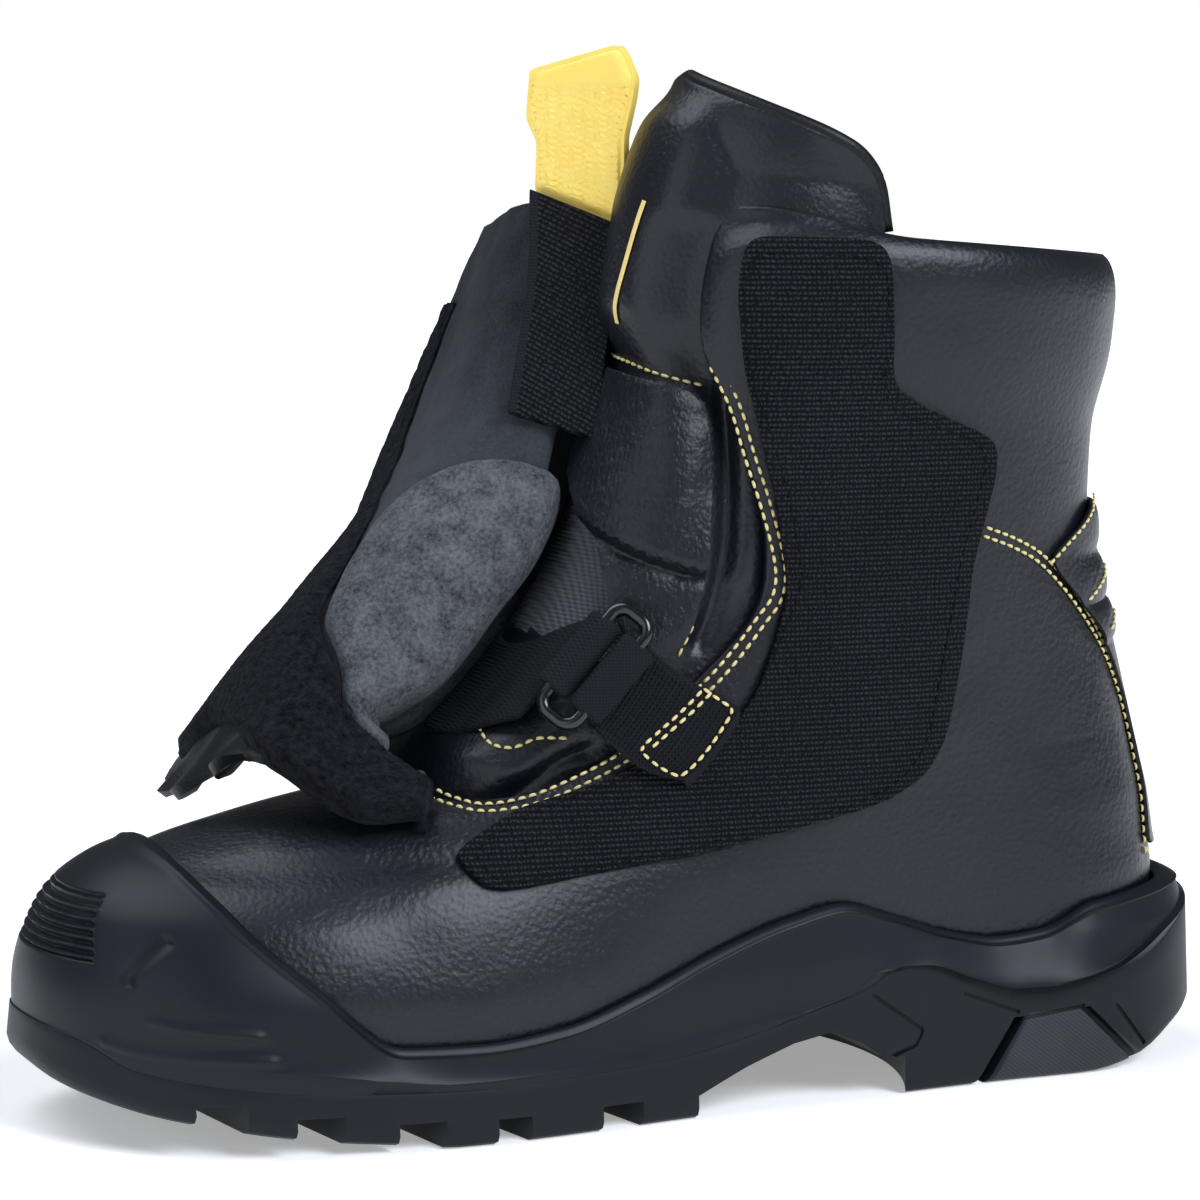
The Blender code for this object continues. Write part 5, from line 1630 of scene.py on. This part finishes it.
@dataclass
class Fastening:
    """Webbing tab, wire ring and instep strap on the outer side."""

    last: Last
    stitch: Stitch
    tab: tuple[Pair, ...] = ((0.755, 0.670), (0.612, 0.604), (0.606, 0.500), (0.743, 0.592))
    tab_seat: float = 2.4
    tab_thickness: float = 2.8
    tab_rib: float = 1.05
    tab_rib_height: float = 0.26
    strap_ends: tuple[Triple, ...] = ((0.835, 0.690, 0.600), (1.0, 0.668, 0.585), (1.17, 0.680, 0.600))
    strap_thickness: float = 2.0
    ring_at: Pair = (0.785, 0.645)
    ring_length: float = 31.0
    ring_width: float = 10.0
    ring_wire: float = 1.7
    ring_lift: float = 8.4
    ring_corner: float = 3.6
    loop_half: float = 11.0
    box_stitch: tuple[Pair, ...] = ((0.660, 0.626), (0.617, 0.602), (0.613, 0.512), (0.678, 0.562))
    front_stitch: tuple[Pair, ...] = ((0.650, 0.622), (0.668, 0.561))

    def tab_place(self, a: Array, b: Array, out: Array | float) -> Array:
        """Points of the tab from its ring end to its sewn end, and from top to bottom."""
        corners = np.array(self.tab)
        top = corners[0] + (corners[1] - corners[0]) * a[..., None]
        low = corners[3] + (corners[2] - corners[3]) * a[..., None]
        flat = top + (low - top) * b[..., None]
        return self.last.place(flat[..., 0], flat[..., 1], out + 1.0 * (1 - a))

    def build_tab(self) -> Piece:
        """Ribbed webbing tab that holds the ring."""
        a, b = np.meshgrid(np.linspace(0, 1, 141), np.linspace(0, 1, 24))
        length = np.linalg.norm(self.tab_place(a, b, 0.0)[0, 0] - self.tab_place(a, b, 0.0)[0, -1])
        ribs = self.tab_rib_height * np.sin(a * length * (TAU / self.tab_rib))
        edge = step01(np.minimum(b, 1 - b) / 0.05)
        out = self.tab_seat + self.tab_thickness - 0.5 + (ribs + 0.5) * edge
        tab = Bench.grid("ring_tab_webbing", self.tab_place(a, b, out))
        Bench.outward(tab)
        self.face_outward(tab)
        Bench.wall(tab, self.tab_thickness)
        Bench.smooth(tab, 60.0)
        return settle(paint(tab, Look.WEBBING), "strap_webbing", "ring_tab")

    def face_outward(self, obj: Piece) -> None:
        """Turn an open piece's faces away from the foot."""
        face = obj.data.polygons[len(obj.data.polygons) // 2]
        middle = np.array((60.0, 0.0, face.center.z / MM)) * MM
        if np.dot(np.array(face.normal), np.array(face.center) - middle) < 0:
            Bench.edit(obj, bpy.ops.mesh.flip_normals)

    def build_strap(self) -> Piece:
        """Strap over the tongue to the ring."""
        a, b = np.meshgrid(np.linspace(0, 1, 81), np.linspace(0, 1, 17))
        ends = np.array(self.strap_ends)
        turn = ends[0, 0] + (ends[-1, 0] - ends[0, 0]) * a
        high = ease(turn, ends[:, 0], ends[:, 1])
        low = ease(turn, ends[:, 0], ends[:, 2])
        lift = 4.0 * np.clip((0.93 - turn) / 0.09, 0, 1) - 0.1
        lift = lift + 0.25 * step01(np.minimum(b, 1 - b) / 0.12)
        strap = Bench.grid("instep_strap_webbing", self.last.place(turn, high + (low - high) * b, lift))
        self.face_outward(strap)
        Bench.wall(strap, self.strap_thickness)
        Bench.soften(strap)
        return settle(paint(strap, Look.WEBBING), "strap_webbing", "instep_strap")

    def build_ring(self) -> Piece:
        """Wire ring between tab and strap."""
        t, r = self.ring_at
        place = self.last.place(t, r, self.ring_lift)
        outward = unit(place - self.last.place(t, r))
        up = unit(self.last.place(t, r + 0.03) - self.last.place(t, r - 0.03))
        lean = unit(self.last.place(t - 0.03, r) - self.last.place(t + 0.03, r))
        long_way = unit(up + 0.12 * lean)
        wide_way = unit(np.cross(outward, long_way))
        corner = self.ring_corner
        loop = []
        for sign_l, sign_w, start in ((1, 1, 0), (-1, 1, 90), (-1, -1, 180), (1, -1, 270)):
            for angle in np.radians(start + np.linspace(0, 90, 10)):
                along = sign_l * (self.ring_length / 2 - corner) + corner * math.cos(angle)
                wide = sign_w * (self.ring_width / 2 - corner) + corner * math.sin(angle)
                loop.append(place + long_way * along + wide_way * wide)
        ring = Bench.tube("strap_ring_wire", np.array(loop), self.ring_wire, 16, closed=True)
        for side, name in ((1, "strap_loop"), (-1, "tab_loop")):
            self.build_loop(name, place, long_way, wide_way * side, outward)
        return settle(paint(ring, Look.WIRE), "ring_steel", "strap_ring")

    def build_loop(self, name: str, centre: Array, long_way: Array, wide_way: Array, outward: Array) -> Piece:
        """Webbing turned round one long side of the ring.

        Args:
            name: Name of the piece.
            centre: Middle of the ring in millimetres.
            long_way: Direction of the ring's long sides.
            wide_way: Direction from the ring's middle to this side.
            outward: Direction off the boot.

        Returns:
            The new piece.
        """
        bar = centre + wide_way * (self.ring_width / 2 - self.ring_wire)
        angle = np.linspace(0, TAU, 41)
        far = np.clip(np.cos(angle), 0, 1)
        rim = np.outer(np.cos(angle) * (3.0 + 3.4 * far), wide_way)
        rim = rim + np.outer(np.sin(angle) * 2.9 - far * 1.6, outward)
        along = np.linspace(-self.loop_half, self.loop_half, 61)
        ribs = 0.018 * np.sin(along * (TAU / self.tab_rib))
        end = np.sqrt(np.clip(1 - (np.abs(along) / self.loop_half) ** 24, 0, 1))
        size = (end * (1 + ribs))[:, None, None]
        loop = Bench.grid(name, bar + np.outer(along, long_way)[:, None] + rim[None] * size)
        Bench.close(loop)
        Bench.smooth(loop, 60.0)
        return settle(paint(loop, Look.WEBBING), "strap_webbing")

    def sew(self) -> None:
        """The sewn box that holds the tab."""
        rows = []
        for path, count in ((self.box_stitch + self.box_stitch[:1], 80), (self.front_stitch, 20)):
            corners = np.array(path)
            steps = np.linspace(0, len(corners) - 1, count)
            turn, rise = (np.interp(steps, np.arange(len(corners)), corners[:, k]) for k in (0, 1))
            lift = self.tab_seat + self.tab_thickness + 0.35
            rows.append((self.last.place(turn, rise, lift), self.last.normal(turn, rise)))
        self.stitch.sew("ring_tab_stitches", rows, Look.YELLOW_THREAD, "strap_webbing")

    def build(self) -> None:
        """All pieces of the fastening."""
        self.build_tab()
        self.build_strap()
        self.build_ring()
        self.sew()


class Section(NamedTuple):
    """One section of the open flap, from its root to its free edge."""

    turn: float
    rise: float
    bend_turn: float
    bend_rise: float
    fold: Triple
    crown: Triple
    edge: Triple


@dataclass
class Flap:
    """The flap turned open, with its pile band, pad, closing strap and pull tab."""

    last: Last
    sections: tuple[Section, ...] = (
        Section(0.845, 0.492, 0.830, 0.500, (136, 25, 80), (139, 29, 77), (142, 32, 73)),
        Section(1.000, 0.516, 0.960, 0.515, (145, 9, 88), (151, 17, 84), (157, 23, 77)),
        Section(1.145, 0.490, 1.060, 0.535, (146, 2, 95), (159, 6, 97), (174, 3, 88)),
        Section(1.265, 0.510, 1.100, 0.590, (128, 1, 105), (156, -8, 112), (180, -47, 70)),
        Section(1.315, 0.575, 1.110, 0.650, (116, 1, 119), (143, -15, 127), (159, -76, 84)),
        Section(1.345, 0.660, 1.120, 0.730, (101, 0, 138), (126, -22, 145), (124, -82, 117)),
        Section(1.315, 0.790, 1.130, 0.830, (89, -9, 167), (104, -32, 170), (104, -90, 152)),
        Section(1.180, 0.960, 1.120, 0.965, (68, -31, 214), (82, -44, 215), (81, -80, 208)),
    )
    hinge_at: tuple[float, ...] = (0.0, 0.14, 0.28, 0.42, 0.56, 0.70, 0.84, 1.0)
    across_at: tuple[float, ...] = (0.0, 0.16, 0.36, 0.64, 1.0)
    seat: float = 2.0
    bend_lift: float = 8.0
    thickness: float = 3.0
    band_inner: tuple[Pair, ...] = (
        (0.0, 0.430), (0.06, 0.436), (0.13, 0.446), (0.20, 0.462), (0.27, 0.488), (0.33, 0.524),
        (0.38, 0.562), (0.42, 0.594), (0.46, 0.618), (0.51, 0.630), (0.59, 0.645), (0.67, 0.680),
        (0.76, 0.790), (0.84, 0.885), (0.94, 0.935),
    )
    band_outer: tuple[Pair, ...] = (
        (0.0, 1.0), (0.24, 1.0), (0.29, 0.945), (0.33, 0.870), (0.37, 0.835), (0.41, 0.845), (0.45, 0.915),
        (0.50, 0.975), (1.0, 0.995),
    )
    band_end: float = 0.94
    band_top: float = 4.6
    band_rim: float = 0.4
    band_thinning: float = 0.55
    band_sheet: float = 0.8
    band_under: tuple[Pair, ...] = ((0.9, 0.8), (1.2, 2.2), (0.9, 4.4))
    pad_outer: tuple[Pair, ...] = (
        (0.0, 0.422), (0.06, 0.428), (0.13, 0.438), (0.20, 0.453), (0.27, 0.479), (0.33, 0.515),
        (0.38, 0.553), (0.42, 0.585), (0.46, 0.608), (0.51, 0.620), (0.57, 0.630), (0.64, 0.632),
        (0.69, 0.612), (0.72, 0.580), (0.745, 0.535), (0.77, 0.440),
    )
    pad_span: Pair = (0.10, 0.77)
    pad_root: float = 0.07
    pleat_from: float = 0.29
    pleat_to: float = 0.47
    pleats: int = 3
    pleat_height: float = 4.6
    notch_depth: float = 0.07
    corner_from: float = 0.12
    corner_cut: float = 0.24
    pad_height: float = 4.9
    pad_rim: float = 0.6
    pad_sheet: float = 1.2
    hook: tuple[tuple[Triple, Triple], ...] = (
        ((83.4, -40.3, 217.5), (69.2, -17.5, 209.4)), ((88.9, -28.8, 196.3), (71.1, -13.8, 199.0)),
        ((95.8, -19.4, 179.0), (77.4, -6.4, 178.5)), ((101.0, -13.2, 164.3), (84.1, 2.4, 158.2)),
    )
    hook_thickness: float = 2.6
    selvage: float = 0.11
    selvage_width: float = 2.6
    grip_height: float = 40.0
    grip_outline: tuple[Pair, ...] = (
        (0.00, -0.014), (1.00, -0.014), (0.98, 0.31), (1.07, 0.39), (1.10, 0.43), (1.09, 0.52),
        (1.06, 0.72), (1.02, 0.75), (0.12, 1.07), (0.04, 1.08), (-0.02, 1.04), (-0.11, 0.94),
        (-0.13, 0.90), (-0.10, 0.78), (-0.01, 0.54), (-0.01, 0.30),
    )
    grip_thickness: float = 3.4
    grip_rim: float = 1.9
    grip_rib: float = 1.75
    grip_wave: float = 8.0
    grip_bare: float = 34.0

    def controls(self) -> Array:
        """Control points, sections by stations across."""
        rows = []
        for row in self.sections:
            root = self.last.place(row.turn, row.rise, self.seat)
            bend = self.last.place(row.bend_turn, row.bend_rise, self.bend_lift)
            rows.append([root, bend, row.fold, row.crown, row.edge])
        return np.array(rows, float)

    def on_face(self, across: Array, along: Array) -> Array:
        """Points on the lined face."""
        controls = self.controls()
        shape = np.shape(across)
        q, p = np.ravel(across), np.ravel(along)
        points = np.empty((q.size, 3))
        for k in range(3):
            columns = np.array([flow(q, self.across_at, row) for row in controls[:, :, k]])
            points[:, k] = flow(p, self.hinge_at, columns)
        return points.reshape(*shape, 3)

    def normal(self, across: Array, along: Array) -> Array:
        """Normals off the lined face."""
        d = 0.01
        q0, q1 = np.clip(across - d, 0, 1), np.clip(across + d, 0, 1)
        p0, p1 = np.clip(along - d, 0, 1), np.clip(along + d, 0, 1)
        sideways = self.on_face(q1, along) - self.on_face(q0, along)
        upward = self.on_face(across, p1) - self.on_face(across, p0)
        return unit(np.cross(upward, sideways))

    def place(self, across: Array, along: Array, out: Array | float = 0.0) -> Array:
        """Points off the lined face by a height."""
        lift = np.broadcast_to(out, np.shape(across))[..., None]
        return self.on_face(across, along) + self.normal(across, along) * lift

    def trim(self, along: Array) -> Array:
        """Share of the width that is left where the toe end's free corner is round."""
        return 1 - self.corner_cut * (1 - np.clip(along / self.corner_from, 0, 1)) ** 2

    def pleat_run(self, along: Array) -> Array:
        """Share of the way through the gathered part of the tip."""
        return np.clip((along - self.pleat_from) / (self.pleat_to - self.pleat_from), 0, 1)

    def pleat(self, across: Array, along: Array) -> Array:
        """Millimetres by which the drooping tip is gathered into pleats."""
        run = self.pleat_run(along)
        fold = np.abs(np.sin(run * self.pleats * math.pi)) ** 0.7 - 0.8
        here = step01((across - 0.80) / 0.14) * step01(run / 0.05) * step01((1 - run) / 0.05)
        return self.pleat_height * fold * here

    def notch(self, across: Array, along: Array) -> Array:
        """Share of the width that is left where the edge draws back between two pleats."""
        run = self.pleat_run(along)
        gap = (1 - np.abs(np.sin(run * self.pleats * math.pi)) ** 0.5) * (run > 0) * (run < 1)
        return 1 - self.notch_depth * gap * step01((across - 0.86) / 0.14)

    def build_leather(self) -> Piece:
        """Leather sheet with its smooth lining, gathered where its tip droops; the tip's pleated leaves take
        near-black leather as painted shade.
        """
        q, p = np.meshgrid(np.linspace(0, 1, 81), np.linspace(0, 1, 191) ** 1.1)
        wide = q * self.trim(p) * self.notch(q, p)
        flat = self.on_face(wide, p)
        ripple = (0.35 * wander(flat, 32.0, 0.5) + 0.2 * wander(flat, 13.0, 1.5)) * step01(q / 0.2)
        flap = Bench.grid("flap_lining", self.place(wide, p, ripple + self.pleat(q, p)), flip=True)
        paint(flap, Look.LINING, Look.OUTER_FLAP, Look.PIPING)
        middle = ((flat[:-1, :-1] + flat[1:, 1:]) / 2).reshape(-1, 3)
        # Painted shade: the pleated leaves of the tip, which hang in the pile band's shadow, take the
        # near-black leather of the third slot.
        bare = (q > 0.80) & (p > self.pleat_from - 0.05) & (p < self.pleat_to + 0.08)
        bare = (bare[:-1, :-1] & bare[1:, 1:]).ravel()
        found = nearest(middle, Bench.centres(flap))
        flap.data.polygons.foreach_set("material_index", bare[found].astype(int) * 2)
        Bench.wall(flap, self.thickness, material_offset=1, material_offset_rim=1)
        Bench.round_edges(flap, 1.1, 3, 60.0)
        return settle(flap, "flap_leather", "flap")

    def build_band(self) -> Piece:
        """Pile band over the free edge."""
        share, p = np.meshgrid(np.linspace(0, 1, 110), np.linspace(0.0, self.band_end, 170))
        inner = curve(p, self.band_inner)
        outer = curve(p, self.band_outer)
        q = inner + (outer * self.trim(p) - inner) * share
        wide = np.minimum(1 - share, share) * (outer - inner) * 90.0
        rim = step01(np.minimum(p * 200.0, wide) / 2.0)
        thin = 1 - self.band_thinning * step01((p - 0.40) / 0.2)
        flat = self.on_face(q, p)
        fuzz = 0.22 * wander(flat, 5.0, 0.7) + 0.30 * wander(flat, 1.9, 1.9)
        height = self.band_rim + (self.band_top * thin - self.band_rim + fuzz) * (0.3 + 0.7 * rim)
        points = self.place(q, p, height)
        ends = unit(points[:, -1] - points[:, -8])
        lip = unit(points[0] - points[6])
        back = self.normal(q, p)
        right = [points[:, -1] + ends * out - back[:, -1] * deep for out, deep in self.band_under]
        points = np.concatenate((points, np.stack(right, axis=1)), axis=1)
        lip = np.concatenate((lip, np.repeat(lip[-1:], 3, axis=0)))
        back = np.concatenate((back[0], np.repeat(back[0, -1:], 3, axis=0)))
        low = [points[0] + lip * out - back * deep for out, deep in self.band_under[::-1]]
        band = Bench.grid("flap_pile_band", np.concatenate((np.stack(low), points)), flip=True)
        Bench.wall(band, self.band_sheet)
        Bench.smooth(band, 70.0)
        return settle(paint(band, Look.PILE), "pile_tape", "flap_loop_band")

    def build_pad(self) -> Piece:
        """Suede pad in the middle of the flap."""
        first, final = self.pad_span
        share, p = np.meshgrid(np.linspace(0, 1, 64), np.linspace(first, final, 90))
        root = self.pad_root + 0.20 * step01((p - 0.60) / 0.17) + 0.12 * step01((0.30 - p) / 0.15)
        q = root + (curve(p, self.pad_outer) - root) * share
        rim = np.minimum(np.minimum(p - first, final - p) * 24, np.minimum(share, 1 - share) * 10)
        puff = (1 - (1 - np.clip(rim, 0, 1)) ** 2.4) ** 0.6
        flat = self.on_face(q, p)
        puff = puff * (0.2 + 0.8 * step01((q - 0.06) / 0.20))
        height = self.pad_rim + (self.pad_height - self.pad_rim) * puff + 0.25 * wander(flat, 17.0, 0.2)
        pad = Bench.grid("flap_suede_pad", self.place(q, p, height), flip=True)
        Bench.wall(pad, self.pad_sheet)
        Bench.smooth(pad, 60.0)
        return settle(paint(pad, Look.SUEDE), "pad_suede", "flap_pad")

    def strap_edges(self, count: int) -> tuple[Array, Array]:
        """Front and rear edge of the closing strap, from its free end down."""
        edges = np.array(self.hook, float)
        down = np.linspace(0, len(edges) - 1, count)
        front, rear = (
            np.stack([flow(down, range(len(edges)), edges[:, side, k]) for k in range(3)], axis=-1)
            for side in (0, 1)
        )
        return front, rear

    def build_hook(self) -> Piece:
        """Closing strap of hook tape with a smooth selvage."""
        front, rear = self.strap_edges(60)
        share = np.concatenate((np.linspace(0, self.selvage, 4), np.linspace(self.selvage, 1, 26)[1:]))
        points = front[:, None] + (rear - front)[:, None] * share[None, :, None]
        strap = Bench.grid("closing_strap_tape", points)
        paint(strap, Look.STRAP_HOOKS, Look.WEBBING)
        near = distance(Bench.centres(strap), front)
        strap.data.polygons.foreach_set("material_index", (near < self.selvage_width).astype(int))
        Bench.wall(strap, self.hook_thickness)
        Bench.round_edges(strap, 0.5, 2, 60.0)
        return settle(strap, "hook_tape", "closing_strap")

    def build_grip(self) -> Piece:
        """Moulded pull tab with a raised rim, and wavy ribs in its sunk middle."""
        front, rear = self.strap_edges(10)
        width = front[0] - rear[0]
        rise = np.array((0.0, 0.0, self.grip_height))
        outward = unit(np.cross(width, rise))
        base = rear[0] + outward * (self.hook_thickness + self.grip_thickness) / 2 + unit(rise) * 0.6
        size = np.array((float(np.linalg.norm(width)), self.grip_height))
        outline = rounded(self.grip_outline, (size[0], size[1]), 1.6)
        border = np.vstack((outline, outline[:1])) * size

        def face(a: Array, b: Array) -> Array:
            """Front face of the tab from shares of its width and height."""
            flat = np.stack((a, b), axis=-1) * size
            depth = distance(flat, border)
            sunk = step01((depth - self.grip_rim) / 0.7)
            wave = flat[:, 1] + 0.45 * np.sin(flat[:, 0] * (TAU / self.grip_wave))
            ribs = 0.5 + 0.5 * np.sin(wave * (TAU / self.grip_rib))
            bare = step01((flat[:, 1] - self.grip_bare + flat[:, 0] * 0.30) / 0.8)
            height = sunk * (ribs * 0.6 * step01((depth - self.grip_rim - 0.7) / 0.5) * (1 - bare) - 0.85)
            return base + np.outer(a, width) + np.outer(b, rise) + np.outer(height, outward)

        grip = Bench.plate("pull_tab_grip", outline, (0.55 / size[0], 0.42 / size[1]), face, 2.2, 0.4, 70.0)
        return settle(paint(grip, Look.GRIP), "pull_tab_plastic", "pull_tab")

    def build(self) -> None:
        """All pieces of the flap."""
        self.build_leather()
        self.build_band()
        self.build_pad()
        self.build_hook()
        self.build_grip()


class Lamp(NamedTuple):
    """A broad soft light: its place, its width in degrees and its strength."""

    name: str
    place: Triple
    width: float
    strength: float


@dataclass
class Studio:
    """Pale floor, soft light and the camera at the photograph's angle."""

    target: Triple = (0.0823, 0.0, 0.0)
    yaw: float = math.radians(23.0)
    pitch: float = math.radians(6.8)
    reach: float = 0.98736
    height: float = 0.23716
    lens: float = 122.4
    ambient: float = 0.11
    tone: Triple = (0.93, 0.98, 1.08)
    floor_glow: float = 0.34
    lamps: tuple[Lamp, ...] = (
        Lamp("key_light", (-0.30, 0.70, 0.66), 30.0, 2.7),
        Lamp("top_light", (0.36, -0.26, 0.90), 44.0, 1.6),
        Lamp("toe_light", (0.86, 0.42, 0.26), 48.0, 0.75),
        Lamp("side_light", (-0.90, 0.45, 0.30), 36.0, 0.08),
    )

    def floor(self) -> None:
        """Wide pale floor."""
        Bench.clear()
        bpy.ops.mesh.primitive_plane_add(size=12.0)
        floor = Bench.named("studio_floor")
        Bench.move(floor, Bench.places(floor) - np.array((0.0, 0.0, 0.0001)))
        shader = Shader("studio_floor")
        tone = shader.noise(shader.coords(), 3.0)
        floor.data.materials.append(shader.finish(
            Base_Color=shader.tint(tone, (0.93, 0.93, 0.93), (0.96, 0.96, 0.96)),
            Roughness=0.75 + tone * 0.05,
            Emission_Color=shader.tint(tone, (0.96, 0.96, 0.96), (1.0, 1.0, 1.0)),
            Emission_Strength=self.floor_glow,
        ))

    def light(self, lamp: Lamp) -> None:
        """One lamp, shining from its place to the boot."""
        Bench.clear()
        bpy.ops.object.light_add(type="SUN", location=lamp.place)
        light = bpy.context.active_object
        light.name = lamp.name
        light.data.angle = math.radians(lamp.width)
        light.data.energy = lamp.strength
        light.data.color = self.tone
        light.rotation_euler = (-Vector(lamp.place)).to_track_quat("-Z", "Y").to_euler()

    def camera(self) -> None:
        """Camera at the photograph's angle."""
        ahead = Vector((-math.sin(self.yaw), -math.cos(self.yaw), 0.0))
        place = Vector(self.target) - ahead * self.reach + Vector((0.0, 0.0, self.height))
        way = ahead * math.cos(self.pitch) - Vector((0.0, 0.0, math.sin(self.pitch)))
        right = Vector((-math.cos(self.yaw), math.sin(self.yaw), 0.0))
        up = right.cross(way)
        data = bpy.data.cameras.new("camera")
        data.lens = self.lens
        data.sensor_width = 36.0
        camera = bpy.data.objects.new("camera", data)
        bpy.context.scene.collection.objects.link(camera)
        matrix = Matrix((right, up, -way)).transposed().to_4x4()
        matrix.translation = place
        camera.matrix_world = matrix
        bpy.context.scene.camera = camera

    def sky(self) -> None:
        """White backdrop for the camera and a dimmer even light for the boot."""
        world = bpy.context.scene.world or bpy.data.worlds.new("studio")
        bpy.context.scene.world = world
        world.use_nodes = True
        tree = world.node_tree
        dim = tree.nodes["Background"]
        dim.inputs["Strength"].default_value = self.ambient
        white = tree.nodes.new("ShaderNodeBackground")
        white.inputs["Strength"].default_value = 1.0
        for node in (dim, white):
            node.inputs["Color"].default_value = (1.0, 1.0, 1.0, 1.0)
        path = tree.nodes.new("ShaderNodeLightPath")
        mix = tree.nodes.new("ShaderNodeMixShader")
        tree.links.new(path.outputs["Is Camera Ray"], mix.inputs[0])
        tree.links.new(dim.outputs[0], mix.inputs[1])
        tree.links.new(white.outputs[0], mix.inputs[2])
        tree.links.new(mix.outputs[0], tree.nodes["World Output"].inputs["Surface"])

    def build(self) -> None:
        """Set the whole stage."""
        bpy.context.scene.view_settings.view_transform = "Standard"
        self.floor()
        self.sky()
        for lamp in self.lamps:
            self.light(lamp)
        self.camera()


def main() -> None:
    """Dress the boot and set its stage."""
    logging.basicConfig(level=logging.INFO, format="%(name)s %(message)s")
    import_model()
    last, stitch = Last(), Stitch()
    upper = Upper(last, stitch)
    upper.build_shell()
    upper.build_patch()
    upper.build_stay()
    upper.sew()
    Tongue(last, upper, stitch).build()
    Sole(last).build()
    Fastening(last, stitch).build()
    Flap(last).build()
    Studio().build()


if __name__ == "__main__":
    main()
